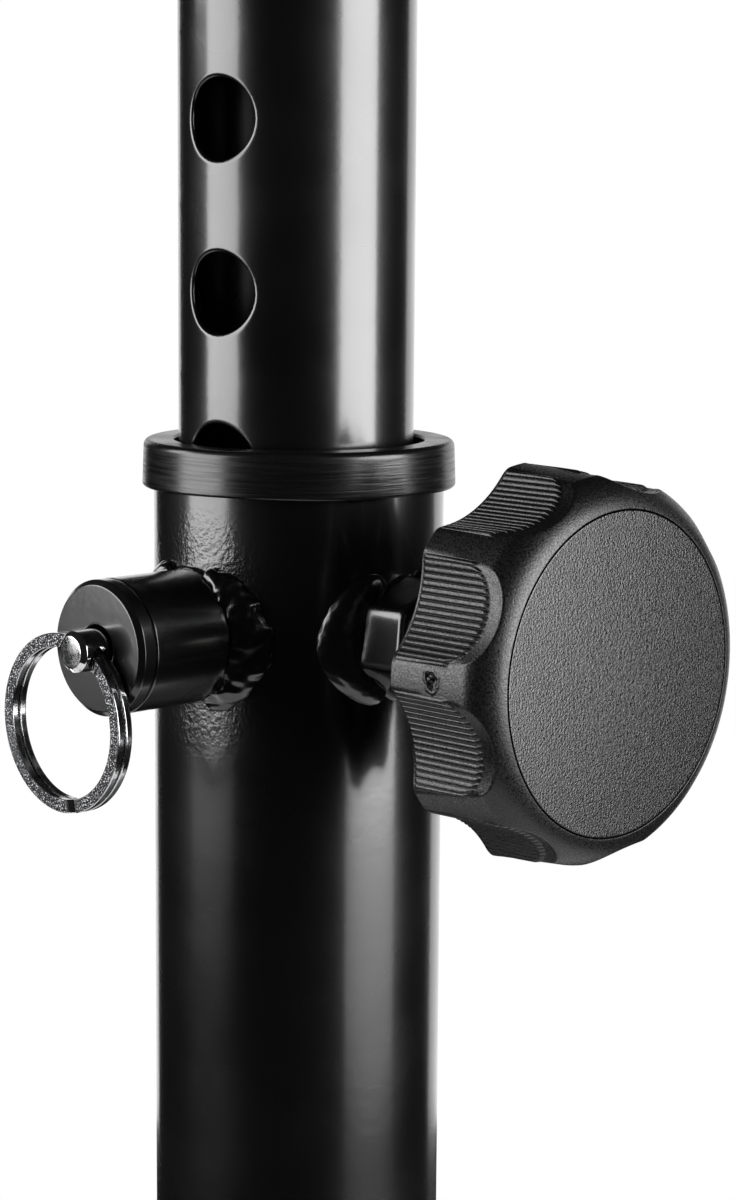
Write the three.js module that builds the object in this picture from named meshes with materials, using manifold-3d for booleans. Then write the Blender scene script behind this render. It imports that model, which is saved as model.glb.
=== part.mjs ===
// Telescopic speaker pole with a sprung lock pin and a star-knob clamp.
// Millimetres, +Z up the pole. The origin is the middle of the foot's flat face.
// Azimuth 0 points to -Y, where the lock pin is, and azimuth 90 to +X, where the knob is.
import * as THREE from 'three';
import { mergeVertices } from 'three/addons/utils/BufferGeometryUtils.js';
import Module from 'manifold-3d';

const wasm = await Module();
wasm.setup();

// Clearances and facet counts shared by all pieces
const seatGap = 0.3;          // between pieces that are pressed, screwed or welded together
const overrun = 1;            // how far a cutter runs past the face that it opens
const smoothRound = 0.6;      // small edge round on turned and moulded pieces
const tubeFacets = 36;
const smallFacets = 24;
const holeFacets = 16;
const arcSteps = 2;

// Lower tube
const lowerOuterRadius = 17.5;
const lowerWall = 1.5;
const collarHeightOnPole = 520;      // underside of the collar above the foot
const lockDrop = 16.7;               // pin and knob axis below the collar's underside
const pinAzimuth = 0;
const knobAzimuth = 90;
const backAzimuth = 180;

// Upper tube
const upperOuterRadius = 14.2;
const upperWall = 1.5;
const upperTurn = 6.5;               // degrees of slack turn towards the knob
const upperPush = 0.55;              // pushed away from the clamp screw
const upperInsertion = 340;          // length below the collar's underside
const holePitch = 20;
const holeRadius = 4.75;
const holesBelowPin = 12;
const holesAbovePin = 6;

// Foot plug
const footFlange = 3;
const footStem = 20;
const footStemWall = 2.2;
const footRibs = 6;
const footRibThickness = 1.6;
const footHubRadius = 4.5;

// Collar: a moulded guide bush that caps the lower tube
const collarOuterRadius = 18.9;
const collarTopRadius = 18.7;
const collarHeight = 5.5;
const collarPlate = 2;
const collarEdgeRound = 0.8;
const collarBoreClearance = 0.9;
const collarSleeve = 11.5;
const collarLeadIn = 0.3;

// Pin boss, its cap and the weld that holds it
const bossRadius = 7.9;
const bossBoreRadius = 5.6;
const bossFace = 31.6;               // cap's outer face from the pole's axis
const capBand = 2.3;
const capEdgeRound = 0.7;
const capSpigot = 0.9;
const bossEdgeChamfer = 0.25;

// Lock pin
const pinTipRadius = 3.25;
const pinTipReach = 1.6;             // tip's end inside the upper tube's bore wall
const pinTipChamfer = 0.8;
const pinFlangeRadius = 4.3;
const pinFlangeThickness = 1.3;
const pinRodRadius = 2.4;
const pinRodEnd = 35.5;
const pinEndChamfer = 0.5;
const pinRunningGap = 0.35;
const crossHoleRadius = 1.6;
const crossHolePlace = 33;
const ringLean = 23;                 // degrees that the pin is turned, so the ring leans

// Washer and spring behind the pin's flange
const washerThickness = 0.8;
const washerRadius = 5;
const springMeanRadius = 4;
const springWire = 0.7;
const springTurns = 3.5;

// Split ring
const ringMeanRadius = 9.7;
const ringBand = 1.6;                // radial width of the flat wire
const ringWire = 0.7;                // thickness of one turn
const ringTurnPitch = 1.15;          // from the middle of one turn to the next
const ringTurns = 2;
const ringStepsPerTurn = 26;
const ringStep = 9.5;                // length of wire that crosses to the second turn
const ringEndGap = 11.8;             // length missing from two turns, so both ends clear the step
const ringStepPlace = 307;           // degrees round the ring, counted from the knob's side

// Welded nut, its weld, the clamp screw and its pad
const nutRadius = 7.2;
const nutEnd = 27;
const nutChamfer = 0.6;
const screwRadius = 3.9;
const screwRunningGap = 0.3;
const screwNoseRadius = 1.6;
const screwNose = 2.2;
const screwStart = 17.6;
const screwHeadFlats = 13;
const screwHead = 5;
const padRadius = 3.9;
const padEnd = 17.3;
const padHoleClearance = 0.6;

// Weld beads
const weldLeg = 2.6;
const weldSteps = 16;
const weldSectionSteps = 4;
const weldSpan = 128;                // degrees round the boss or nut
const weldEndShare = 0.35;           // bead size left at its two ends
const weldRippleShare = 0.16;
const weldRipples = 3.5;
const weldPhases = { nearKnob: 0, farFromKnob: 1, nearPin: 2, farFromPin: 3 };

// Knob
const knobRear = 38.1;               // rear rim from the pole's axis
const knobFace = 51.7;
const knobRadius = 22.5;
const knobDraft = 0.7;
const knobLobes = 9;
const knobTurn = 17.5;               // degrees that the lobes stand turned at rest
const scallopFloorRadius = 20.1;
const scallopRadius = 13.9;
const scallopBlend = 0.4;
const knobShoulder = 48;
const knobRimRadius = 17.6;           // where the rounded front would meet the face, under the cap
const knobFrontPower = 1.7;           // 2 makes the front's round elliptical, and less makes it flatter
const knobRearRound = 0.5;
const ribHeight = 0.28;
const ribEnd = 9.7;
const ribFade = 1.4;
const ribSpan = 15.6;                // degrees either side of a scallop's middle
const ribsPerScallop = 17;
const landColumns = 4;               // columns of the skin from a lobe's middle to the first rib
const shoulderSteps = 3;
const hubRadius = 8.2;
const hubRear = 31.5;
const knobWell = 7.4;
const knobWellRadius = 15.6;
const knobWebThickness = 1.8;
const knobSocket = 42.6;             // where the screw head's hexagonal socket starts
const knobCapRadius = 18.3;
const knobCapThickness = 2;
const knobCapSkirtRadius = 11.4;
const knobCapSkirtWall = 1.4;
const knobCapSkirt = 2.2;
const knobCapEdgeRound = 0.35;

// Top of the upper tube
const adaptorRise = 132;             // adaptor's underside above the collar's top at rest
const adaptorRadius = 17.5;
const adaptorLength = 95;
const shoulderRadius = 21;
const shoulderThickness = 4;
const adaptorLeadIn = 1.5;
const topPlugFlange = 3;
const topPlugStem = 16;
const topPlugBoreRadius = 8;
const adaptorScrewDrop = 35;         // below the adaptor's top
const adaptorScrewRadius = 1.7;
const adaptorScrewHeadRadius = 3.4;
const adaptorScrewLength = 7;
const adaptorScrewHead = 1.7;
const adaptorScrewSocketRadius = 1.3;

// Glide plug in the upper tube's lower end
const glideClearance = 0.9;
const glideHead = 10;
const glideStem = 16;
const glideBoreRadius = 8;
const glideGroove = 0.5;
const glideGrooveWidth = 1.6;
const glideGrooves = 2;

// Places that follow from the sizes above
const lowerBoreRadius = lowerOuterRadius - lowerWall;
const upperBoreRadius = upperOuterRadius - upperWall;
const lockHeight = collarHeightOnPole - lockDrop;
const collarTop = collarHeightOnPole + collarHeight;
const lowerTubeTop = collarTop - collarPlate - seatGap;
const adaptorBottom = collarTop + adaptorRise;
const adaptorTop = adaptorBottom + adaptorLength;
const adaptorScrewHeight = adaptorTop - adaptorScrewDrop;
const upperTubeBottom = collarHeightOnPole - upperInsertion;
const upperTubeTop = adaptorTop;
const pinTipEnd = upperBoreRadius - pinTipReach;
const pinFlangeStart = lowerOuterRadius + seatGap;
const pinFlangeEnd = pinFlangeStart + pinFlangeThickness;
const washerStart = pinFlangeEnd + seatGap;
const washerEnd = washerStart + washerThickness;
const capInner = bossFace - capBand;
const capSpigotEnd = capInner - capSpigot;
const bossEnd = capInner - seatGap;
const capRecess = knobFace - knobCapThickness - seatGap;
const ringWound = 2 * Math.PI * ringTurns - ringEndGap / ringMeanRadius;

// Finishes
const finish = (color, roughness, metalness) =>
  new THREE.MeshStandardMaterial({ color, roughness, metalness });
const finishes = {
  powderCoat: finish(0x0d0d0e, 0.32, 0.1),
  blackPlastic: finish(0x161617, 0.45, 0),
  knobPlastic: finish(0x2b2b2c, 0.62, 0),
  capPlastic: finish(0x4a4a4b, 0.7, 0),
  chrome: finish(0xd9d9da, 0.12, 1),
  zincSteel: finish(0x9c9c98, 0.35, 1),
  nylon: finish(0xd8d6cc, 0.55, 0),
};

const radians = (degrees) => THREE.MathUtils.degToRad(degrees);

// A matrix whose +Z points out of the pole at an azimuth, with +Y up the pole
function outwardFrame(azimuth, height) {
  const a = radians(azimuth);
  const across = new THREE.Vector3(Math.cos(a), Math.sin(a), 0);
  const up = new THREE.Vector3(0, 0, 1);
  const out = new THREE.Vector3(Math.sin(a), -Math.cos(a), 0);
  return new THREE.Matrix4().makeBasis(across, up, out).setPosition(0, 0, height);
}

// Six times the volume that a triangle list encloses, negative when it is inside out
function enclosed(positions, triangles) {
  const [p, q, r] = [new THREE.Vector3(), new THREE.Vector3(), new THREE.Vector3()];
  let sum = 0;
  for (let i = 0; i < triangles.length; i += 3) {
    p.fromArray(positions, 3 * triangles[i]);
    q.fromArray(positions, 3 * triangles[i + 1]);
    r.fromArray(positions, 3 * triangles[i + 2]);
    sum += p.dot(q.cross(r));
  }
  return sum;
}

// A closed three.js geometry as a solid with its faces pointing out
function solidOf(geometry) {
  const bare = geometry.clone();
  for (const name of Object.keys(bare.attributes)) {
    if (name !== 'position') bare.deleteAttribute(name);
  }
  const welded = mergeVertices(bare);
  const positions = welded.getAttribute('position').array;
  const corners = welded.index.array;
  const triangles = [];
  for (let i = 0; i < corners.length; i += 3) {
    const [a, b, c] = corners.slice(i, i + 3);
    if (a !== b && b !== c && c !== a) triangles.push(a, b, c);
  }
  if (enclosed(positions, triangles) < 0) triangles.reverse();
  const vertProperties = new Float32Array(positions);
  const triVerts = new Uint32Array(triangles);
  return new wasm.Manifold(new wasm.Mesh({ numProp: 3, vertProperties, triVerts }));
}

// A solid's faces as a three.js geometry
function geometryOf(solid) {
  const faces = solid.getMesh();
  const geometry = new THREE.BufferGeometry();
  geometry.setAttribute('position', new THREE.BufferAttribute(new Float32Array(faces.vertProperties), 3));
  geometry.setIndex(new THREE.BufferAttribute(new Uint32Array(faces.triVerts), 1));
  geometry.computeVertexNormals();
  return geometry;
}

const join = (first, ...others) => others.reduce((whole, piece) => whole.add(piece), first);
const cut = (first, ...tools) => tools.reduce((whole, tool) => whole.subtract(tool), first);

// A profile of [radius, height] points turned about +Z
function turned(profile, facets, place = null) {
  const points = profile.map(([radius, height]) => new THREE.Vector2(radius, height));
  const geometry = new THREE.LatheGeometry(points, facets).rotateX(Math.PI / 2);
  return solidOf(place ? geometry.applyMatrix4(place) : geometry);
}

// A plain rod and a plain sleeve along +Z, from one height to another
function rod(radius, from, to, facets, place = null) {
  return turned([[0, from], [radius, from], [radius, to], [0, to]], facets, place);
}

function sleeve(inner, outer, from, to, facets, place = null) {
  const profile = [[inner, from], [outer, from], [outer, to], [inner, to], [inner, from]];
  return turned(profile, facets, place);
}

// Points of a quarter round from one angle to another, for the edge of a profile
function edge(radius, height, size, fromDegrees, toDegrees) {
  const points = [];
  for (let i = 0; i <= arcSteps; i += 1) {
    const a = radians(fromDegrees + ((toDegrees - fromDegrees) * i) / arcSteps);
    points.push([radius + size * Math.cos(a), height + size * Math.sin(a)]);
  }
  return points;
}

// A block along +Z that is centred on the axis
function block(width, depth, from, to, place = null) {
  const geometry = new THREE.BoxGeometry(width, depth, to - from).translate(0, 0, (from + to) / 2);
  return solidOf(place ? geometry.applyMatrix4(place) : geometry);
}

const spin = (degrees) => new THREE.Matrix4().makeRotationZ(radians(degrees));
const shift = (across) => new THREE.Matrix4().makeTranslation(across, 0, 0);

// A closed band of rings of points: each ring joins the next, and both ends are capped
function skin(rings) {
  const around = rings[0].length;
  const positions = rings.flat(2);
  const triangles = [];
  for (let i = 0; i < rings.length - 1; i += 1) {
    for (let j = 0; j < around; j += 1) {
      const [a, b] = [i * around + j, i * around + ((j + 1) % around)];
      triangles.push(a, b, b + around, a, b + around, a + around);
    }
  }
  for (const [start, flip] of [[0, true], [(rings.length - 1) * around, false]]) {
    const middle = new THREE.Vector3();
    for (let j = 0; j < around; j += 1) {
      middle.add(new THREE.Vector3().fromArray(positions, 3 * (start + j)));
    }
    middle.divideScalar(around);
    const centre = positions.length / 3;
    positions.push(middle.x, middle.y, middle.z);
    for (let j = 0; j < around; j += 1) {
      const [a, b] = [start + j, start + ((j + 1) % around)];
      triangles.push(...(flip ? [centre, b, a] : [centre, a, b]));
    }
  }
  const geometry = new THREE.BufferGeometry();
  geometry.setAttribute('position', new THREE.BufferAttribute(new Float32Array(positions), 3));
  geometry.setIndex(triangles);
  return solidOf(geometry);
}

// The least distance between stretches of a wound path that are most of a turn apart
function leastSelfGap(path, stepsPerTurn, thickness) {
  let least = Infinity;
  for (let i = 0; i < path.length; i += 1) {
    for (let j = i + Math.ceil(stepsPerTurn / 2); j < path.length; j += 1) {
      least = Math.min(least, path[i].distanceTo(path[j]) - thickness);
    }
  }
  return least;
}

// Lower tube with the pin's hole and the clamp screw's hole through one wall each
function lowerTube() {
  const from = footFlange + seatGap;
  const tube = sleeve(lowerBoreRadius, lowerOuterRadius, from, lowerTubeTop, tubeFacets);
  const reach = lowerOuterRadius + overrun;
  const pinHole = rod(pinTipRadius + pinRunningGap, 0, reach, holeFacets, outwardFrame(pinAzimuth, lockHeight));
  const screwHole = rod(padRadius + padHoleClearance, 0, reach, holeFacets, outwardFrame(knobAzimuth, lockHeight));
  return cut(tube, pinHole, screwHole);
}

// Foot plug: a flat flange under the tube's end, and a ribbed cup pressed into its bore
function footPlug() {
  const stemRadius = lowerBoreRadius - seatGap;
  const cupRadius = stemRadius - footStemWall;
  const top = footFlange + footStem;
  const body = turned([
    [0, 0],
    ...edge(lowerOuterRadius - smoothRound, smoothRound, smoothRound, -90, 0),
    [lowerOuterRadius, footFlange],
    [stemRadius, footFlange],
    [stemRadius, top - smoothRound],
    [stemRadius - smoothRound, top],
    [cupRadius, top],
    [cupRadius, footFlange],
    [0, footFlange],
  ], tubeFacets);
  const hub = rod(footHubRadius, footFlange / 2, top - footFlange, smallFacets);
  const webs = [];
  for (let i = 0; i < footRibs / 2; i += 1) {
    const width = 2 * cupRadius + footStemWall;
    webs.push(block(width, footRibThickness, footFlange / 2, top - footFlange, spin((360 * i) / footRibs)));
  }
  return join(body, hub, ...webs);
}

// Collar: a rounded cap over the tube's end with a thin sleeve down its bore
function collar() {
  const boreRadius = upperOuterRadius + collarBoreClearance;
  const sleeveRadius = lowerBoreRadius - seatGap;
  const skirtRadius = lowerOuterRadius + seatGap;
  const plateUnderside = collarHeight - collarPlate;
  return turned([
    [skirtRadius, 0],
    [collarOuterRadius - collarLeadIn, 0],
    [collarOuterRadius, collarLeadIn],
    ...edge(collarTopRadius - collarEdgeRound, collarHeight - collarEdgeRound, collarEdgeRound, 0, 90),
    [boreRadius + collarLeadIn, collarHeight],
    [boreRadius, collarHeight - collarLeadIn],
    [boreRadius, -collarSleeve],
    [sleeveRadius, -collarSleeve],
    [sleeveRadius, plateUnderside],
    [skirtRadius, plateUnderside],
    [skirtRadius, 0],
  ], tubeFacets);
}

// A rod across the pole that takes away what lies inside the lower tube's skin
function tubeSaddle() {
  const reach = 2 * bossRadius + overrun;
  const upright = new THREE.Matrix4().makeRotationX(-Math.PI / 2);
  return rod(lowerOuterRadius + seatGap, -reach, reach, 2 * tubeFacets, upright);
}

// Pin boss: a round housing whose foot is saddled to the tube
function pinBoss() {
  const body = turned([
    [bossBoreRadius, 0],
    [bossRadius, 0],
    [bossRadius, bossEnd - bossEdgeChamfer],
    [bossRadius - bossEdgeChamfer, bossEnd],
    [bossBoreRadius, bossEnd],
    [bossBoreRadius, 0],
  ], smallFacets);
  return cut(body, tubeSaddle());
}

// Boss cap: a round-edged disc with a spigot in the boss and a bore for the pin's rod
function bossCap() {
  const boreRadius = pinRodRadius + pinRunningGap;
  return turned([
    [boreRadius, capSpigotEnd],
    [bossBoreRadius - seatGap, capSpigotEnd],
    [bossBoreRadius - seatGap, capInner],
    [bossRadius - bossEdgeChamfer, capInner],
    [bossRadius, capInner + bossEdgeChamfer],
    ...edge(bossRadius - capEdgeRound, bossFace - capEdgeRound, capEdgeRound, 0, 90),
    [boreRadius, bossFace],
    [boreRadius, capSpigotEnd],
  ], smallFacets);
}

// A lumpy fillet of weld along part of the seam between a round stub and the tube
function weldBead(stubRadius, middleDegrees, phase) {
  const rings = [];
  for (let i = 0; i <= weldSteps; i += 1) {
    const share = i / weldSteps;
    const a = radians(middleDegrees + weldSpan * (share - 1 / 2));
    const swell = weldEndShare + (1 - weldEndShare) * Math.sqrt(Math.sin(Math.PI * share));
    const ripple = 1 + weldRippleShare * Math.sin(2 * Math.PI * weldRipples * share + phase);
    const leg = weldLeg * swell * ripple;
    const section = [[seatGap, seatGap]];
    for (let k = 0; k <= weldSectionSteps; k += 1) {
      const b = (Math.PI / 2) * (k / weldSectionSteps);
      section.push([seatGap + leg * Math.cos(b), seatGap + leg * Math.sin(b)]);
    }
    rings.push(section.map(([off, rise]) => {
      const x = (stubRadius + off) * Math.cos(a);
      const y = (stubRadius + off) * Math.sin(a);
      return [x, y, Math.sqrt(lowerOuterRadius ** 2 - x ** 2) + rise];
    }));
  }
  return skin(rings);
}

// Lock pin: chamfered tip, flange that the spring bears on, and a rod with a cross hole
function lockPin() {
  const body = turned([
    [0, pinTipEnd],
    [pinTipRadius - pinTipChamfer, pinTipEnd],
    [pinTipRadius, pinTipEnd + pinTipChamfer],
    [pinTipRadius, pinFlangeStart],
    [pinFlangeRadius, pinFlangeStart],
    [pinFlangeRadius, pinFlangeEnd],
    [pinRodRadius, pinFlangeEnd],
    [pinRodRadius, pinRodEnd - pinEndChamfer],
    [pinRodRadius - pinEndChamfer, pinRodEnd],
    [0, pinRodEnd],
  ], smallFacets);
  const reach = pinRodRadius + overrun;
  const sideways = new THREE.Matrix4()
    .makeRotationZ(radians(-ringLean))
    .multiply(new THREE.Matrix4().makeRotationY(Math.PI / 2))
    .setPosition(0, 0, crossHolePlace);
  return cut(body, rod(crossHoleRadius, -reach, reach, holeFacets, sideways));
}

// Thrust washer between the pin's flange and the spring
function springWasher() {
  return sleeve(pinRodRadius + pinRunningGap, washerRadius, washerStart, washerEnd, smallFacets);
}

// Return spring: one unbroken round wire wound round the pin's rod
function pinSpring() {
  const from = washerEnd + seatGap + springWire / 2;
  const to = capSpigotEnd - seatGap - springWire / 2;
  const stepsPerTurn = 12;
  const steps = Math.round(springTurns * stepsPerTurn);
  const sides = 6;
  const path = [];
  for (let i = 0; i <= steps; i += 1) {
    const a = (2 * Math.PI * i) / stepsPerTurn;
    const height = from + ((to - from) * i) / steps;
    path.push(new THREE.Vector3(springMeanRadius * Math.cos(a), springMeanRadius * Math.sin(a), height));
  }
  const rings = path.map((point, i) => {
    const a = (2 * Math.PI * i) / stepsPerTurn;
    return Array.from({ length: sides }, (_, k) => {
      const b = (2 * Math.PI * k) / sides;
      const off = springMeanRadius + (springWire / 2) * Math.cos(b);
      return [off * Math.cos(a), off * Math.sin(a), point.z + (springWire / 2) * Math.sin(b)];
    });
  });
  console.log('pin spring, least gap to itself', leastSelfGap(path, stepsPerTurn, springWire).toFixed(2), 'mm');
  return skin(rings);
}

// Split ring: one flat wire wound twice, with a short step from the first turn to the second
function splitRing() {
  const steps = Math.round((ringStepsPerTurn * ringWound) / (2 * Math.PI));
  const stepShare = ringStep / ringMeanRadius / ringWound;
  const bevel = ringWire / 4;
  const halfBand = ringBand / 2;
  const halfWire = ringWire / 2;
  const section = [
    [halfBand, -halfWire + bevel], [halfBand, halfWire - bevel], [halfBand - bevel, halfWire],
    [-halfBand + bevel, halfWire], [-halfBand, halfWire - bevel], [-halfBand, -halfWire + bevel],
    [-halfBand + bevel, -halfWire], [halfBand - bevel, -halfWire],
  ];
  const path = [];
  const rings = [];
  for (let i = 0; i <= steps; i += 1) {
    const share = i / steps;
    const a = ringWound * share;
    const climb = THREE.MathUtils.smoothstep(share, (1 - stepShare) / 2, (1 + stepShare) / 2);
    const height = ringTurnPitch * (climb - 1 / 2);
    path.push(new THREE.Vector3(ringMeanRadius * Math.cos(a), ringMeanRadius * Math.sin(a), height));
    rings.push(section.map(([off, rise]) => {
      const radius = ringMeanRadius + off;
      return [radius * Math.cos(a), radius * Math.sin(a), height + rise];
    }));
  }
  console.log('split ring, least gap to itself', leastSelfGap(path, ringStepsPerTurn, ringWire).toFixed(2), 'mm');
  return skin(rings);
}

// Welded nut: a round stub with a clear bore for the clamp screw
function clampNut() {
  const boreRadius = screwRadius + screwRunningGap;
  const body = turned([
    [boreRadius, 0],
    [nutRadius, 0],
    [nutRadius, nutEnd - nutChamfer],
    [nutRadius - nutChamfer, nutEnd],
    [boreRadius, nutEnd],
    [boreRadius, 0],
  ], smallFacets);
  return cut(body, tubeSaddle());
}

// Clamp screw: a nose that carries the pad, the shank, and a hexagonal head in the knob
function clampScrew() {
  const headStart = knobSocket + seatGap;
  const headEnd = headStart + screwHead;
  const shank = turned([
    [0, screwStart - screwNose],
    [screwNoseRadius, screwStart - screwNose],
    [screwNoseRadius, screwStart],
    [screwRadius - smoothRound, screwStart],
    [screwRadius, screwStart + smoothRound],
    [screwRadius, headEnd],
    [0, headEnd],
  ], holeFacets);
  return join(shank, hexagon(screwHeadFlats, headStart, headEnd));
}

// A hexagonal prism along +Z by its width across flats
function hexagon(flats, from, to) {
  return rod(flats / Math.sqrt(3), from, to, 6);
}

// Pressure pad: its face follows the upper tube, and its socket takes the screw's nose
function pressurePad() {
  const faceRadius = upperOuterRadius + seatGap;
  const socketFrom = screwStart - screwNose - seatGap;
  const body = rod(padRadius, 0, padEnd, smallFacets);
  const upright = new THREE.Matrix4().makeRotationX(-Math.PI / 2).setPosition(0, 0, -upperPush);
  const mast = rod(faceRadius, -2 * padRadius, 2 * padRadius, 2 * tubeFacets, upright);
  const socket = rod(screwNoseRadius + seatGap, socketFrom, padEnd + overrun, holeFacets);
  return cut(body, mast, socket);
}

// The smaller of two lengths, with a soft step between them
function softLeast(a, b, blend) {
  const share = THREE.MathUtils.clamp(1 / 2 + (b - a) / (2 * blend), 0, 1);
  return b + (a - b) * share - blend * share * (1 - share);
}

// Columns of the knob's skin: wide steps over each land, and two to a rib in each scallop
function gripColumns() {
  const pitch = 360 / knobLobes;
  const land = pitch / 2 - ribSpan;
  const columns = [];
  for (let lobe = 0; lobe < knobLobes; lobe += 1) {
    const middle = knobTurn + (lobe + 1 / 2) * pitch;
    for (let i = 0; i < 2 * ribsPerScallop; i += 1) {
      const offset = ribSpan * (i / ribsPerScallop - 1);
      columns.push({ angle: radians(middle + offset), offset: radians(offset), rib: i % 2 });
    }
    for (let i = 0; i < 2 * landColumns; i += 1) {
      const past = (land * i) / landColumns;
      const offset = past < land ? ribSpan + past : ribSpan + past - pitch;
      columns.push({ angle: radians(middle + ribSpan + past), offset: radians(offset), rib: 0 });
    }
  }
  return columns;
}

// The knob's outer radius at an angle from a scallop's middle
function gripRadius({ offset, rib }, landRadius, ribShare) {
  const centre = scallopFloorRadius + scallopRadius;
  const side = centre * Math.sin(offset);
  if (Math.abs(side) >= scallopRadius) return landRadius;
  const floor = centre * Math.cos(offset) - Math.sqrt(scallopRadius ** 2 - side ** 2);
  return softLeast(floor, landRadius, scallopBlend) + ribHeight * rib * ribShare;
}

// Knob's outer skin: rings of points from the rear rim to the flat front
function knobSkin() {
  const shoulderRadius = knobRadius - knobDraft;
  const stations = [
    [knobRear, knobRadius - knobRearRound, 0],
    [knobRear + knobRearRound, knobRadius, 1],
    [knobRear + ribEnd - ribFade, shoulderRadius, 1],
    [knobRear + ribEnd, shoulderRadius, 0],
  ];
  for (let i = 0; i <= shoulderSteps; i += 1) {
    const a = (Math.PI / 2) * (i / shoulderSteps);
    const rise = (knobFace - knobShoulder) * Math.sin(a) ** (2 / knobFrontPower);
    const overRim = (shoulderRadius - knobRimRadius) * Math.abs(Math.cos(a)) ** (2 / knobFrontPower);
    stations.push([knobShoulder + rise, knobRimRadius + overRim, 0]);
  }
  const columns = gripColumns();
  return skin(stations.map(([height, land, ribShare]) => columns.map((column) => {
    const radius = gripRadius(column, land, ribShare);
    return [radius * Math.cos(column.angle), radius * Math.sin(column.angle), height];
  })));
}

// Knob body: the scalloped grip with a hub, a webbed well at the rear and seats at the front
function knobBody() {
  const grip = knobSkin();
  const hub = rod(hubRadius, hubRear, knobRear + knobWell, smallFacets);
  const well = sleeve(hubRadius, knobWellRadius, knobRear - overrun, knobRear + knobWell, tubeFacets);
  const webs = [];
  const reach = knobWellRadius + overrun;
  for (let i = 0; i < knobLobes; i += 1) {
    const outFromAxis = spin(knobTurn + (360 * i) / knobLobes).multiply(shift(reach / 2));
    webs.push(block(reach, knobWebThickness, knobRear, knobRear + knobWell + overrun, outFromAxis));
  }
  const openWell = cut(well, ...webs);
  const bore = rod(screwRadius + screwRunningGap, hubRear - overrun, knobFace, holeFacets);
  const socket = hexagon(screwHeadFlats + 2 * seatGap, knobSocket, knobFace);
  const recess = rod(knobCapRadius + seatGap, capRecess, knobFace + overrun, tubeFacets);
  const skirtInner = knobCapSkirtRadius - knobCapSkirtWall - seatGap;
  const skirtFrom = capRecess - knobCapSkirt - seatGap;
  const channel = sleeve(skirtInner, knobCapSkirtRadius + seatGap, skirtFrom, knobFace, tubeFacets);
  return cut(join(grip, hub), openWell, bore, socket, recess, channel);
}

// Knob cap: a flat disc whose skirt snaps into the knob's channel
function knobCap() {
  const back = capRecess + seatGap;
  const skirtInner = knobCapSkirtRadius - knobCapSkirtWall;
  return turned([
    [0, back],
    [skirtInner, back],
    [skirtInner, back - knobCapSkirt],
    [knobCapSkirtRadius, back - knobCapSkirt],
    [knobCapSkirtRadius, back],
    [knobCapRadius, back],
    ...edge(knobCapRadius - knobCapEdgeRound, knobFace - knobCapEdgeRound, knobCapEdgeRound, 0, 90),
    [0, knobFace],
  ], tubeFacets);
}

// Upper tube with its row of holes through the wall that faces the pin
function upperTube() {
  const tube = sleeve(upperBoreRadius, upperOuterRadius, upperTubeBottom, upperTubeTop, tubeFacets);
  const holes = [];
  for (let i = -holesBelowPin; i <= holesAbovePin; i += 1) {
    const height = lockHeight + i * holePitch;
    holes.push(rod(holeRadius, 0, upperOuterRadius + overrun, holeFacets, outwardFrame(pinAzimuth, height)));
  }
  const screwHole = rod(
    adaptorScrewRadius + seatGap, 0, upperOuterRadius + overrun, holeFacets,
    outwardFrame(backAzimuth, adaptorScrewHeight),
  );
  return cut(tube, ...holes, screwHole);
}

// Glide plug: a grooved head that runs in the lower tube, on a hollow stem in the upper one
function glidePlug() {
  const headRadius = lowerBoreRadius - glideClearance;
  const stemRadius = upperBoreRadius - seatGap;
  const headTop = upperTubeBottom - seatGap;
  const headBottom = headTop - glideHead;
  const grooves = [];
  for (let i = 1; i <= glideGrooves; i += 1) {
    const middle = headBottom + (glideHead * i) / (glideGrooves + 1);
    const from = middle - glideGrooveWidth / 2;
    const to = middle + glideGrooveWidth / 2;
    const bottom = headRadius - glideGroove;
    grooves.push([headRadius, from], [bottom, from], [bottom, to], [headRadius, to]);
  }
  return turned([
    [glideBoreRadius, headBottom],
    [headRadius - smoothRound, headBottom],
    [headRadius, headBottom + smoothRound],
    ...grooves,
    [headRadius, headTop],
    [stemRadius, headTop],
    [stemRadius, headTop + glideStem - smoothRound],
    [stemRadius - smoothRound, headTop + glideStem],
    [glideBoreRadius, headTop + glideStem],
    [glideBoreRadius, headBottom],
  ], tubeFacets);
}

// Top adaptor: a sleeve that brings the top up to the lower tube's size, on a wide shoulder
function topAdaptor() {
  const boreRadius = upperOuterRadius + seatGap;
  const body = turned([
    [boreRadius, adaptorBottom],
    ...edge(shoulderRadius - smoothRound, adaptorBottom + smoothRound, smoothRound, -90, 0),
    ...edge(shoulderRadius - smoothRound, adaptorBottom + shoulderThickness - smoothRound, smoothRound, 0, 90),
    [adaptorRadius, adaptorBottom + shoulderThickness],
    [adaptorRadius, adaptorTop - adaptorLeadIn],
    [adaptorRadius - smoothRound, adaptorTop],
    [boreRadius, adaptorTop],
    [boreRadius, adaptorBottom],
  ], tubeFacets);
  const place = outwardFrame(backAzimuth, adaptorScrewHeight);
  const clearRadius = adaptorScrewRadius + seatGap;
  const headRadius = adaptorScrewHeadRadius + seatGap;
  const headStart = adaptorRadius - adaptorScrewHead - seatGap;
  const countersink = turned([
    [0, 0],
    [clearRadius, 0],
    [clearRadius, headStart],
    [headRadius, adaptorRadius],
    [headRadius, adaptorRadius + overrun],
    [0, adaptorRadius + overrun],
  ], holeFacets, place);
  return cut(body, countersink);
}

// Countersunk screw through the adaptor into the upper tube
function adaptorScrew() {
  const face = adaptorRadius - seatGap;
  const headStart = face - adaptorScrewHead;
  const body = turned([
    [0, face - adaptorScrewLength],
    [adaptorScrewRadius, face - adaptorScrewLength + adaptorScrewRadius],
    [adaptorScrewRadius, headStart],
    [adaptorScrewHeadRadius, face],
    [0, face],
  ], holeFacets);
  const drive = rod(adaptorScrewSocketRadius, face - adaptorScrewHead / 2, face + overrun, 6);
  return cut(body, drive);
}

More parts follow.
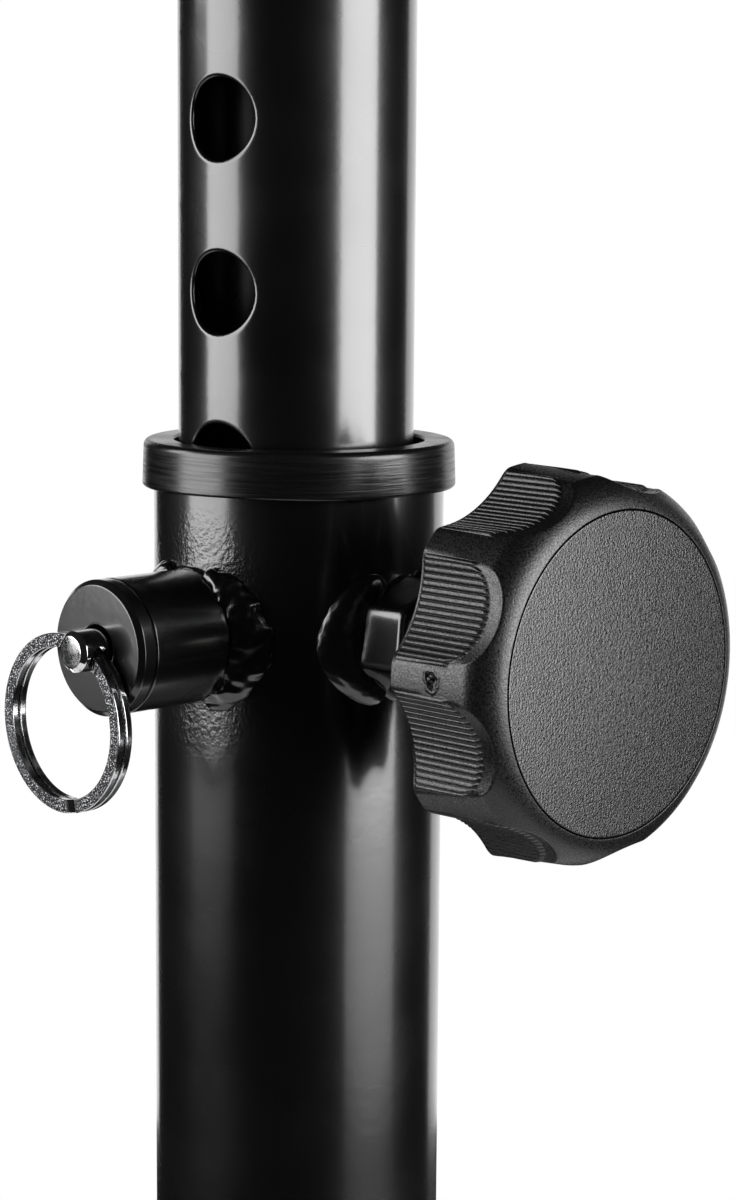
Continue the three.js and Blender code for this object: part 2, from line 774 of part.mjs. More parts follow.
// Top plug: a flat flange over the adaptor's end with a hollow stem in the upper tube
function topPlug() {
  const from = adaptorTop + seatGap;
  const to = from + topPlugFlange;
  const stemRadius = upperBoreRadius - seatGap;
  const stemEnd = from - topPlugStem;
  return turned([
    [0, from],
    [topPlugBoreRadius, from],
    [topPlugBoreRadius, stemEnd],
    [stemRadius - smoothRound, stemEnd],
    [stemRadius, stemEnd + smoothRound],
    [stemRadius, from],
    [adaptorRadius - smoothRound, from],
    ...edge(adaptorRadius - adaptorLeadIn, to - adaptorLeadIn, adaptorLeadIn, 0, 90),
    [0, to],
  ], tubeFacets);
}

// The assembled pole
function mesh(name, solid, material) {
  const piece = new THREE.Mesh(geometryOf(solid), material);
  piece.name = name;
  return piece;
}

const pole = new THREE.Group();

pole.add(mesh('lower_tube', lowerTube(), finishes.powderCoat));
pole.add(mesh('foot_plug', footPlug(), finishes.blackPlastic));
const collarMesh = mesh('collar', collar(), finishes.blackPlastic);
collarMesh.position.z = collarHeightOnPole;
pole.add(collarMesh);

const pinSide = new THREE.Group();
pinSide.applyMatrix4(outwardFrame(pinAzimuth, lockHeight));
pinSide.add(
  mesh('pin_boss', pinBoss(), finishes.powderCoat),
  mesh('boss_cap', bossCap(), finishes.powderCoat),
  mesh('boss_weld_near_knob', weldBead(bossRadius, 0, weldPhases.nearKnob), finishes.powderCoat),
  mesh('boss_weld_far', weldBead(bossRadius, 180, weldPhases.farFromKnob), finishes.powderCoat),
  mesh('lock_pin', lockPin(), finishes.chrome),
  mesh('spring_washer', springWasher(), finishes.zincSteel),
  mesh('pin_spring', pinSpring(), finishes.zincSteel),
);
const ringMesh = mesh('split_ring', splitRing(), finishes.chrome);
const lean = radians(ringLean);
ringMesh.position.set(-ringMeanRadius * Math.sin(lean), -ringMeanRadius * Math.cos(lean), crossHolePlace);
ringMesh.rotation.z = radians(ringStepPlace) - ringWound / 2;
pinSide.add(ringMesh);
pole.add(pinSide);

const knobSide = new THREE.Group();
knobSide.applyMatrix4(outwardFrame(knobAzimuth, lockHeight));
knobSide.add(
  mesh('clamp_nut', clampNut(), finishes.powderCoat),
  mesh('nut_weld_near_pin', weldBead(nutRadius, 180, weldPhases.nearPin), finishes.powderCoat),
  mesh('nut_weld_far', weldBead(nutRadius, 0, weldPhases.farFromPin), finishes.powderCoat),
  mesh('clamp_screw', clampScrew(), finishes.zincSteel),
  mesh('pressure_pad', pressurePad(), finishes.nylon),
  mesh('knob_body', knobBody(), finishes.knobPlastic),
  mesh('knob_cap', knobCap(), finishes.capPlastic),
);
pole.add(knobSide);

const mast = new THREE.Group();
mast.position.x = -upperPush;
mast.rotation.z = radians(upperTurn);
const adaptorScrewMesh = mesh('adaptor_screw', adaptorScrew(), finishes.zincSteel);
adaptorScrewMesh.applyMatrix4(outwardFrame(backAzimuth, adaptorScrewHeight));
mast.add(
  mesh('upper_tube', upperTube(), finishes.powderCoat),
  mesh('glide_plug', glidePlug(), finishes.blackPlastic),
  mesh('top_adaptor', topAdaptor(), finishes.blackPlastic),
  adaptorScrewMesh,
  mesh('top_plug', topPlug(), finishes.blackPlastic),
);
pole.add(mast);

export default pole;
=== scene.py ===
"""Fine surfaces, finishes and studio for a telescopic speaker pole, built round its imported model.

The pole stands on its foot with +Z up. Its lock pin points to -Y and its clamp knob to +X. Lengths are in
millimetres, which MM turns to the scene's metres. Azimuths are in degrees: 0 points to -Y and 90 to +X.
"""

import logging
import math
from dataclasses import dataclass, field
from enum import Enum

import bmesh
import bpy
import numpy as np
from mathutils import Matrix, Vector


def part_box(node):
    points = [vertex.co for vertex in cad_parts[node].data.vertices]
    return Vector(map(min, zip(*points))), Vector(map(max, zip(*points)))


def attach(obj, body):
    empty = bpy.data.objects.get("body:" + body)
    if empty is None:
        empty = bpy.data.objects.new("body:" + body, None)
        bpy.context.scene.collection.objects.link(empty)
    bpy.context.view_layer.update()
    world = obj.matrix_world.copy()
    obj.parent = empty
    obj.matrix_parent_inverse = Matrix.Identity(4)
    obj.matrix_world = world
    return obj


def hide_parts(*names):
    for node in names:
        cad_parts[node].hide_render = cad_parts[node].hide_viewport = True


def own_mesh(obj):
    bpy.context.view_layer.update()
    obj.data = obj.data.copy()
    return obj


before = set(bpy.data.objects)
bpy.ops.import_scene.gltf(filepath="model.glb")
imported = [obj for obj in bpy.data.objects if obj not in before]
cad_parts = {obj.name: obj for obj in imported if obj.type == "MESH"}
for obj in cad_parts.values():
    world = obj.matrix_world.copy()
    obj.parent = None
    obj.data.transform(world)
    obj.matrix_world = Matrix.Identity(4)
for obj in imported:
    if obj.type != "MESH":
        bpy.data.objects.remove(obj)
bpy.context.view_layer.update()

MM = 0.001
LOG = logging.getLogger("speaker_pole")

# Points that are closer together than this become one
WELD_DISTANCE = 0.002
# Radius at which the profile of a solid piece starts and ends
AXIS = 0.001
# How far a cutter reaches past what it cuts
OVERRUN = 2.0
# Points in each ring of a large, a middling and a small turned piece, and of a six-sided one
LARGE_FACETS = 256
FACETS = 192
SMALL_FACETS = 96
HEXAGON = 6
# Points in a small quarter round
QUARTER_POINTS = 5
# How far the seeds of the weld beads' ripples are from those of their lumps
RIPPLE_SEEDS = 40
# Noise textures keep nearly all their values between these
NOISE_REACH = (0.3, 0.7)

# A profile's corner: its radius, height and fillet radius
Corner = tuple[float, float, float]
# Two ends of a range
Span = tuple[float, float]


class Ends(Enum):
    """How the two end rings of a band are finished."""

    CAPPED = "capped"
    LOOPED = "looped"
    OPEN = "open"


class Body(Enum):
    """The bodies that this script's own pieces ride on."""

    LOWER = "lower_pole"
    UPPER = "upper_pole"
    PIN = "pin"
    RING = "ring"
    KNOB = "knob"


class Side(Enum):
    """The sides of the pole that carry something, as azimuths."""

    PIN = 0.0
    CAMERA = 46.8
    KNOB = 90.0
    BACK = 180.0


# Shapes

def outward(azimuth: float, height: float, centre: tuple[float, float] = (0.0, 0.0)) -> Matrix:
    """Places a piece whose own +Z points out of the pole, with its +Y up the pole.

    Args:
        azimuth: the way that the piece points
        height: height of its axis above the foot
        centre: where its axis starts, across the pole
    Returns:
        The place as a matrix in millimetres.
    """
    a = math.radians(azimuth)
    across = Vector((math.cos(a), math.sin(a), 0))
    out = Vector((math.sin(a), -math.cos(a), 0))
    place = Matrix((across, Vector((0, 0, 1)), out)).transposed().to_4x4()
    place.translation = Vector((*centre, height))
    return place


def guarded(line: list[np.ndarray], closed: bool, guard: float = 0.12) -> np.ndarray:
    """Adds a point close to each end of each long run, so that smooth shading stays in the rounds.

    Args:
        line: points of a profile
        closed: whether the last point joins the first
        guard: distance of the added points from the run's ends
    Returns:
        All points, in order.
    """
    points = []
    for i, here in enumerate(line):
        points.append(here)
        if i == len(line) - 1 and not closed:
            break
        run = line[(i + 1) % len(line)] - here
        length = float(np.linalg.norm(run))
        if length > 4 * guard:
            points += [here + run * guard / length, here + run * (1 - guard / length)]
    return np.array(points)


def rounded(corners: list[Corner], closed: bool = True, steps: int = 5) -> np.ndarray:
    """Turns a profile's corners into a line with a true arc at each.

    Args:
        corners: radius, height and fillet radius of each corner
        closed: whether the last corner joins the first
        steps: chords in each arc
    Returns:
        The line's points as radius and height.
    """
    line = []
    for i, (radius, height, fillet) in enumerate(corners):
        here = np.array((radius, height))
        if fillet == 0 or (not closed and i in (0, len(corners) - 1)):
            line.append(here)
            continue
        back = np.array(corners[i - 1][:2]) - here
        ahead = np.array(corners[(i + 1) % len(corners)][:2]) - here
        back /= np.linalg.norm(back)
        ahead /= np.linalg.norm(ahead)
        half = math.acos(float(np.clip(back @ ahead, -1, 1))) / 2
        middle = (back + ahead) / np.linalg.norm(back + ahead)
        centre = here + middle * fillet / math.sin(half)
        start = here + back * fillet / math.tan(half) - centre
        stop = here + ahead * fillet / math.tan(half) - centre
        first = math.atan2(start[1], start[0])
        sweep = (math.atan2(stop[1], stop[0]) - first + math.pi) % (2 * math.pi) - math.pi
        for k in range(steps + 1):
            a = first + sweep * k / steps
            line.append(centre + fillet * np.array((math.cos(a), math.sin(a))))
    return guarded(line, closed)


def circle(count: int) -> np.ndarray:
    """Returns evenly spaced angles of a full turn, in radians."""
    return 2 * math.pi * np.arange(count) / count


def turned(line: np.ndarray, angles: np.ndarray) -> np.ndarray:
    """Turns a profile about +Z.

    Args:
        line: radius and height of each point
        angles: the angles at which each ring has a point
    Returns:
        One ring of points for each point of the profile.
    """
    rings = np.empty((len(line), len(angles), 3))
    rings[..., 0] = line[:, :1] * np.sin(angles)
    rings[..., 1] = -line[:, :1] * np.cos(angles)
    rings[..., 2] = line[:, 1:]
    return rings


def lumps(x: np.ndarray, y: np.ndarray, seed: int, finest: float, waves: int = 9) -> np.ndarray:
    """Makes a smooth uneven field over a surface from a seeded sum of waves.

    Args:
        x: place along the surface, in millimetres
        y: place across it
        seed: which field
        finest: length of the shortest wave
        waves: how many waves are summed
    Returns:
        The field's values, about -1 to 1.
    """
    draw = np.random.default_rng(seed)
    total = np.zeros(np.broadcast(x, y).shape)
    for _ in range(waves):
        way = draw.uniform(0, 2 * math.pi)
        pace = 2 * math.pi / (finest * draw.uniform(1, 3))
        along = x * math.cos(way) + y * math.sin(way)
        total = total + np.sin(pace * along + draw.uniform(0, 2 * math.pi))
    return total / math.sqrt(waves)


def node_box(node: str) -> tuple[Vector, Vector]:
    """Returns the lowest and highest corner of a CAD node, in millimetres."""
    low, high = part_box(node)
    return low / MM, high / MM


@dataclass
class Shell:
    """A mesh in the making: its points, in millimetres, and its faces."""

    points: list[np.ndarray] = field(default_factory=list)
    faces: list[tuple[int, ...]] = field(default_factory=list)
    count: int = 0

    def add_points(self, points: np.ndarray) -> int:
        """Takes more points.

        Args:
            points: the points, in any arrangement
        Returns:
            The number of the first of them.
        """
        block = np.asarray(points, float).reshape(-1, 3)
        first = self.count
        self.points.append(block)
        self.count += len(block)
        return first

    def add_rings(self, rings: np.ndarray, ends: Ends) -> None:
        """Joins rings of points into a band.

        Args:
            rings: the rings, each with as many points
            ends: what becomes of the first and last ring
        """
        count, around = rings.shape[:2]
        first = self.add_points(rings)
        for i in range(count if ends is Ends.LOOPED else count - 1):
            low = first + i * around
            high = first + (i + 1) % count * around
            for j in range(around):
                k = (j + 1) % around
                self.faces.append((low + j, low + k, high + k, high + j))
        if ends is Ends.CAPPED:
            for at, ring in ((first, rings[0]), (first + (count - 1) * around, rings[-1])):
                hub = self.add_points(ring.mean(axis=0))
                self.faces.extend((at + j, at + (j + 1) % around, hub) for j in range(around))

    def add_block(self, low: Vector, high: Vector, turn: float = 0.0) -> None:
        """Adds a block.

        Args:
            low: its lowest corner
            high: its highest corner
            turn: its turn about +Z, in degrees
        """
        corners = [(x, y, z) for z in (low.z, high.z)
                   for x, y in ((low.x, low.y), (high.x, low.y), (high.x, high.y), (low.x, high.y))]
        turn_matrix = np.array(Matrix.Rotation(math.radians(turn), 3, "Z"))
        rings = (np.array(corners) @ turn_matrix.T).reshape(2, 4, 3)
        self.add_rings(rings, Ends.CAPPED)

    def build(self, name: str, place: Matrix = Matrix.Identity(4)) -> bpy.types.Object:
        """Makes the piece's object.

        Args:
            name: the object's name
            place: where the piece stands, in millimetres
        Returns:
            The object, at the scene's origin, with its place in its mesh.
        """
        points = np.concatenate(self.points)
        placing = np.array(place)
        points = (points @ placing[:3, :3].T + placing[:3, 3]) * MM
        mesh = bpy.data.meshes.new(name)
        mesh.from_pydata(points.tolist(), [], self.faces)
        work = bmesh.new()
        work.from_mesh(mesh)
        bmesh.ops.remove_doubles(work, verts=work.verts, dist=WELD_DISTANCE * MM)
        bmesh.ops.recalc_face_normals(work, faces=work.faces)
        work.to_mesh(mesh)
        work.free()
        mesh.shade_smooth()
        piece = bpy.data.objects.new(name, mesh)
        bpy.context.scene.collection.objects.link(piece)
        return piece


def lathe(name: str, corners: list[Corner], closed: bool, place: Matrix,
          facets: int = FACETS) -> bpy.types.Object:
    """Makes a turned piece.

    Args:
        name: the object's name
        corners: its profile's corners, each with a fillet
        closed: True for a hollow piece, and False for a solid one whose profile starts and ends on the axis
        place: where it stands
        facets: points in each ring
    Returns:
        The object.
    """
    shell = Shell()
    ends = Ends.LOOPED if closed else Ends.CAPPED
    shell.add_rings(turned(rounded(corners, closed), circle(facets)), ends)
    return shell.build(name, place)


def carve(piece: bpy.types.Object, *cutters: bpy.types.Object, sharp: float = 35.0) -> None:
    """Cuts closed meshes out of a piece, and removes them.

    Args:
        piece: what is cut
        cutters: what is taken away
        sharp: angle, in degrees, from which an edge is shaded sharp
    """
    for cutter in cutters:
        change = piece.modifiers.new("carve", "BOOLEAN")
        change.operation = "DIFFERENCE"
        change.solver = "EXACT"
        change.object = cutter
    whole = piece.evaluated_get(bpy.context.evaluated_depsgraph_get())
    piece.data = bpy.data.meshes.new_from_object(whole)
    piece.modifiers.clear()
    for cutter in cutters:
        bpy.data.objects.remove(cutter)
    piece.data.shade_smooth()
    piece.data.set_sharp_from_angle(angle=math.radians(sharp))


# Finishes

def linear(colour: str) -> tuple[float, float, float, float]:
    """Turns an sRGB hex colour to the linear one that a shader takes."""
    parts = [int(colour[i:i + 2], 16) / 255 for i in (1, 3, 5)]
    return (*[p / 12.92 if p <= 0.04045 else ((p + 0.055) / 1.055) ** 2.4 for p in parts], 1.0)


def per_metre(size: float) -> float:
    """Returns the texture scale whose cells measure so many millimetres."""
    return 1 / (size * MM)


def add_node(tree: bpy.types.NodeTree, kind: str, inputs: dict | None = None,
             **settings: object) -> bpy.types.Node:
    """Adds a shader node.

    Args:
        tree: the tree that takes it
        kind: its type, without the words that every shader node's starts with
        inputs: a value or another node's output for each socket, by name or number
        settings: the node's own settings
    Returns:
        The node.
    """
    node = tree.nodes.new(f"ShaderNode{kind}")
    for name, value in settings.items():
        setattr(node, name, value)
    for socket, value in (inputs or {}).items():
        if isinstance(value, bpy.types.NodeSocket):
            tree.links.new(value, node.inputs[socket])
        else:
            node.inputs[socket].default_value = value
    return node


def grain_of(here: bpy.types.NodeSocket, size: float, detail: float = 2.0) -> dict:
    """Returns the inputs of a noise texture whose cells measure so many millimetres."""
    return {"Vector": here, "Scale": per_metre(size), "Detail": detail}


def span_of(value: bpy.types.NodeSocket, start: Span, stop: Span) -> dict:
    """Returns the inputs of a map from one span of values to another."""
    return {"Value": value, 1: start[0], 2: start[1], 3: stop[0], 4: stop[1]}


@dataclass(frozen=True)
class Finish:
    """What every finish has: a name, the record's slot, a colour, a roughness and a specular level."""

    name: str
    slot: str
    colour: str
    roughness: float
    specular: float = 0.5

    def material(self) -> bpy.types.Material:
        """Gives the finish's material, which is made on first use.

        Returns:
            The material.
        """
        made = bpy.data.materials.get(self.name)
        if made is None:
            made = bpy.data.materials.new(self.name)
            made.use_nodes = True
            shader = made.node_tree.nodes["Principled BSDF"]
            shader.inputs["Base Color"].default_value = linear(self.colour)
            shader.inputs["Roughness"].default_value = self.roughness
            shader.inputs["Specular IOR Level"].default_value = self.specular
            here = add_node(made.node_tree, "TexCoord").outputs["Object"]
            self.dress(made.node_tree, shader, here)
        return made

    def dress(self, tree: bpy.types.NodeTree, shader: bpy.types.Node, here: bpy.types.NodeSocket) -> None:
        """Adds what sets this finish apart.

        Args:
            tree: the material's nodes
            shader: its surface shader
            here: the point on the piece
        """
        raise NotImplementedError

    def vary_gloss(self, tree: bpy.types.NodeTree, shader: bpy.types.Node, pattern: bpy.types.NodeSocket,
                   reach: Span, shares: Span) -> None:
        """Lets the roughness follow a pattern.

        Args:
            tree: the material's nodes
            shader: its surface shader
            pattern: the pattern, 0 to 1
            reach: the pattern's values at which the roughness is least and most
            shares: the least and most roughness, as shares of the finish's own
        """
        ends = (self.roughness * shares[0], self.roughness * shares[1])
        rough = add_node(tree, "MapRange", span_of(pattern, reach, ends), clamp=True)
        tree.links.new(rough.outputs["Result"], shader.inputs["Roughness"])

    def relief(self, tree: bpy.types.NodeTree, shader: bpy.types.Node, height: bpy.types.NodeSocket,
               depth: float) -> None:
        """Lays a relief over those that the shader has already.

        Args:
            tree: the material's nodes
            shader: the surface shader
            height: the relief, 0 to 1
            depth: its full height in millimetres
        """
        inputs: dict = {"Height": height, "Distance": depth * MM, "Strength": 1.0}
        if shader.inputs["Normal"].links:
            inputs["Normal"] = shader.inputs["Normal"].links[0].from_socket
        bump = add_node(tree, "Bump", inputs)
        tree.links.new(bump.outputs["Normal"], shader.inputs["Normal"])
        if shader.inputs["Coat Weight"].default_value > 0:
            tree.links.new(bump.outputs["Normal"], shader.inputs["Coat Normal"])


@dataclass(frozen=True)
class PowderCoat(Finish):
    """Polyester powder coat, sprayed and baked on steel: deep black with broad soft highlights.

    Orange peel bends the highlights a little, and beside a weld the heat has left the coat wrinkled. The
    powder's own grains are under 0.1 mm. They are drawn at three times that or more, or they would not show.
    """

    coat_roughness: float = 0.14
    peel_size: float = 1.8
    peel_depth: float = 0.008
    grit_size: float = 0.3
    grit_depth: float = 0.0008
    patch_size: float = 14.0
    patch_gloss: Span = (0.85, 1.2)
    wrinkle_size: float = 0.6
    wrinkle_depth: float = 0.08
    wrinkle_reach: Span = (11.0, 16.5)
    welds: tuple[tuple[float, float, float], ...] = ()

    def dress(self, tree: bpy.types.NodeTree, shader: bpy.types.Node, here: bpy.types.NodeSocket) -> None:
        """Adds orange peel, fine grit, patchy gloss and the wrinkles beside each weld.

        Args:
            tree: the material's nodes
            shader: its surface shader
            here: the point on the piece
        """
        shader.inputs["Coat Weight"].default_value = 1.0
        shader.inputs["Coat Roughness"].default_value = self.coat_roughness
        peel = add_node(tree, "TexNoise", grain_of(here, self.peel_size)).outputs["Fac"]
        self.relief(tree, shader, peel, self.peel_depth)
        grit = add_node(tree, "TexNoise", grain_of(here, self.grit_size, detail=1.0)).outputs["Fac"]
        self.relief(tree, shader, grit, self.grit_depth)
        patches = add_node(tree, "TexNoise", grain_of(here, self.patch_size, detail=3.0)).outputs["Fac"]
        self.vary_gloss(tree, shader, patches, NOISE_REACH, self.patch_gloss)
        reach = (self.wrinkle_reach[0] * MM, self.wrinkle_reach[1] * MM)
        for weld in self.welds:
            away = add_node(tree, "VectorMath", {0: here, 1: Vector(weld) * MM}, operation="DISTANCE")
            near = span_of(away.outputs["Value"], reach, (1.0, 0.0))
            close = add_node(tree, "MapRange", near, clamp=True)
            wrinkles = add_node(tree, "TexNoise", grain_of(here, self.wrinkle_size, detail=3.0))
            both = add_node(tree, "Math", {0: close.outputs["Result"], 1: wrinkles.outputs["Fac"]},
                            operation="MULTIPLY")
            self.relief(tree, shader, both.outputs["Value"], self.wrinkle_depth)


@dataclass(frozen=True)
class RubbedPlastic(Finish):
    """Polyamide, injection moulded and rubbed by use: satin black, with fine streaks round the pole."""

    streak_size: float = 9.0
    streak_flatness: float = 30.0
    streak_depth: float = 0.01
    streak_reach: Span = (0.35, 0.65)
    streak_gloss: Span = (0.8, 1.25)
    rubbed_side: tuple[float, float, float] = (0.684, 0.729, 0.0)
    rubbed_reach: Span = (2.0, 14.0)
    rubbed_depth: float = 0.04
    grain_size: float = 0.4
    grain_depth: float = 0.002

    def dress(self, tree: bpy.types.NodeTree, shader: bpy.types.Node, here: bpy.types.NodeSocket) -> None:
        """Adds streaks, thin and long round the pole and deeper on the side that is rubbed, and a grain.

        Args:
            tree: the material's nodes
            shader: its surface shader
            here: the point on the piece
        """
        flatten = {0: here, 1: (1, 1, self.streak_flatness)}
        flat = add_node(tree, "VectorMath", flatten, operation="MULTIPLY")
        noise = add_node(tree, "TexNoise", grain_of(flat.outputs["Vector"], self.streak_size, detail=4.0))
        streaks = noise.outputs["Fac"]
        self.relief(tree, shader, streaks, self.streak_depth)
        side = add_node(tree, "VectorMath", {0: here, 1: self.rubbed_side}, operation="DOT_PRODUCT")
        reach = (self.rubbed_reach[0] * MM, self.rubbed_reach[1] * MM)
        share = add_node(tree, "MapRange", span_of(side.outputs["Value"], reach, (0.0, 1.0)), clamp=True)
        scuffs = add_node(tree, "Math", {0: share.outputs["Result"], 1: streaks}, operation="MULTIPLY")
        self.relief(tree, shader, scuffs.outputs["Value"], self.rubbed_depth)
        self.vary_gloss(tree, shader, streaks, self.streak_reach, self.streak_gloss)
        grain = add_node(tree, "TexNoise", grain_of(here, self.grain_size)).outputs["Fac"]
        self.relief(tree, shader, grain, self.grain_depth)


@dataclass(frozen=True)
class GrainedPlastic(Finish):
    """Glass-filled polyamide from a spark-eroded mould: matt, with a grain that sparkles a little.

    The real grain is about 0.1 mm across. It is drawn at twice to three times that, or a render from a
    step away would not show it.
    """

    grain_size: float = 0.3
    grain_depth: float = 0.03
    fleck: float = 0.35
    fleck_share: float = 0.7
    sparkle: float = 0.3
    sparkle_share: float = 0.8

    def dress(self, tree: bpy.types.NodeTree, shader: bpy.types.Node, here: bpy.types.NodeSocket) -> None:
        """Adds the mould's grain, light and dark flecks in it, and points that are glossier than others.

        Args:
            tree: the material's nodes
            shader: its surface shader
            here: the point on the piece
        """
        grain = add_node(tree, "TexNoise", grain_of(here, self.grain_size, detail=3.0)).outputs["Fac"]
        self.relief(tree, shader, grain, self.grain_depth)
        fleck_grain = grain_of(here, self.grain_size * self.fleck_share)
        flecks = add_node(tree, "TexNoise", fleck_grain).outputs["Fac"]
        ends = (1 - self.fleck, 1 + self.fleck)
        shades = add_node(tree, "MapRange", span_of(flecks, NOISE_REACH, ends), clamp=True)
        base = linear(self.colour)[:3]
        colour = add_node(tree, "VectorMath", {0: base, "Scale": shades.outputs["Result"]},
                          operation="SCALE")
        tree.links.new(colour.outputs["Vector"], shader.inputs["Base Color"])
        points = add_node(tree, "TexNoise", grain_of(here, self.grain_size * self.sparkle_share, detail=1.0))
        shares = (1 - self.sparkle, 1 + self.sparkle)
        self.vary_gloss(tree, shader, points.outputs["Fac"], NOISE_REACH, shares)


@dataclass(frozen=True)
class PlatedSteel(Finish):
    """Steel, turned or bent and then plated: a mirror, dulled in patches and by fine pits.

    The real pits are too fine to show from a step away, so they are drawn coarser.
    """

    pit_size: float = 0.3
    pit_depth: float = 0.01
    dull_size: float = 1.6
    dull_gloss: Span = (0.7, 1.5)
    tarnish: str = "#6e6e70"
    tarnish_reach: Span = (0.25, 0.42)

    def dress(self, tree: bpy.types.NodeTree, shader: bpy.types.Node, here: bpy.types.NodeSocket) -> None:
        """Adds pits, a patchy dullness and a little tarnish in the pits.

        Args:
            tree: the material's nodes
            shader: its surface shader
            here: the point on the piece
        """
        shader.inputs["Metallic"].default_value = 1.0
        pits = add_node(tree, "TexNoise", grain_of(here, self.pit_size, detail=3.0)).outputs["Fac"]
        self.relief(tree, shader, pits, self.pit_depth)
        dull = add_node(tree, "TexNoise", grain_of(here, self.dull_size, detail=3.0)).outputs["Fac"]
        self.vary_gloss(tree, shader, dull, NOISE_REACH, self.dull_gloss)
        share = add_node(tree, "MapRange", span_of(pits, self.tarnish_reach, (1.0, 0.0)), clamp=True)
        colours = {0: share.outputs["Result"], 6: linear(self.colour), 7: linear(self.tarnish)}
        mixed = add_node(tree, "Mix", colours, data_type="RGBA")
        tree.links.new(mixed.outputs[2], shader.inputs["Base Color"])


@dataclass(frozen=True)
class FlatWire(PlatedSteel):
    """Flat spring wire, rolled and plated: its edges are a mirror and its flat sides dark, pitted and dull.

    The real pits are under 0.1 mm. They are drawn at about twice that, as finer ones would not show.
    """

    flat_colour: str = "#2a2a2c"
    fleck_colour: str = "#dcdcde"
    fleck_size: float = 0.19
    fleck_reach: Span = (0.54, 0.64)
    flat_facing: Span = (0.8, 0.95)
    flat_pit_depth: float = 0.07
    flat_roughness: float = 0.5

    def dress(self, tree: bpy.types.NodeTree, shader: bpy.types.Node, here: bpy.types.NodeSocket) -> None:
        """Adds the mirror's pits and dull patches, and over them the flat sides' colour, flecks and pits.

        Args:
            tree: the material's nodes
            shader: its surface shader
            here: the point on the piece
        """
        super().dress(tree, shader, here)
        facing = add_node(tree, "TexCoord").outputs["Normal"]
        along = add_node(tree, "VectorMath", {0: facing, 1: (0, 1, 0)}, operation="DOT_PRODUCT")
        size = add_node(tree, "Math", {0: along.outputs["Value"]}, operation="ABSOLUTE").outputs["Value"]
        side = add_node(tree, "MapRange", span_of(size, self.flat_facing, (0.0, 1.0)), clamp=True)
        flat = side.outputs["Result"]
        grain = add_node(tree, "TexNoise", grain_of(here, self.fleck_size)).outputs["Fac"]
        share = add_node(tree, "MapRange", span_of(grain, self.fleck_reach, (0.0, 1.0)), clamp=True)
        colours = {0: share.outputs["Result"], 6: linear(self.flat_colour), 7: linear(self.fleck_colour)}
        sides = add_node(tree, "Mix", colours, data_type="RGBA").outputs[2]
        bright = shader.inputs["Base Color"].links[0].from_socket
        both = add_node(tree, "Mix", {0: flat, 6: bright, 7: sides}, data_type="RGBA")
        tree.links.new(both.outputs[2], shader.inputs["Base Color"])
        gloss = shader.inputs["Roughness"].links[0].from_socket
        dull = add_node(tree, "Mix", {0: flat, 2: gloss, 3: self.flat_roughness}, data_type="FLOAT")
        tree.links.new(dull.outputs[0], shader.inputs["Roughness"])
        pits = add_node(tree, "Math", {0: flat, 1: grain}, operation="MULTIPLY")
        self.relief(tree, shader, pits.outputs["Value"], self.flat_pit_depth)


@dataclass(frozen=True)
class Nylon(Finish):
    """Natural nylon, turned from rod: milky, with a faint grain from the tool."""

    milk: float = 0.3
    milk_depth: float = 0.5
    grain_size: float = 0.5
    grain_depth: float = 0.004

    def dress(self, tree: bpy.types.NodeTree, shader: bpy.types.Node, here: bpy.types.NodeSocket) -> None:
        """Adds a milky depth and a faint grain.

        Args:
            tree: the material's nodes
            shader: its surface shader
            here: the point on the piece
        """
        shader.inputs["Subsurface Weight"].default_value = self.milk
        shader.inputs["Subsurface Scale"].default_value = self.milk_depth * MM
        grain = add_node(tree, "TexNoise", grain_of(here, self.grain_size)).outputs["Fac"]
        self.relief(tree, shader, grain, self.grain_depth)


# Sub-assemblies

@dataclass
class SubAssembly:
    """Pieces that belong together, with the lock's height and the tube that they sit on."""

    lock_height: float
    tube_radius: float

    @staticmethod
    def keep(piece: bpy.types.Object, body: Body, finish: Finish, *nodes: str) -> bpy.types.Object:
        """Dresses a piece and ties it to the frame.

        Args:
            piece: the new object
            body: what it moves with
            finish: its finish
            nodes: the CAD nodes that it stands for
        Returns:
            The same object.
        """
        piece.data.materials.clear()
        piece.data.materials.append(finish.material())
        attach(piece, body.value)
        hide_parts(*nodes)
        LOG.info("%s: %d faces, for %s", piece.name, len(piece.data.polygons), ", ".join(nodes))
        return piece


@dataclass(frozen=True)
class Hole:
    """A round hole through one wall of a tube."""

    azimuth: float
    height: float
    radius: float


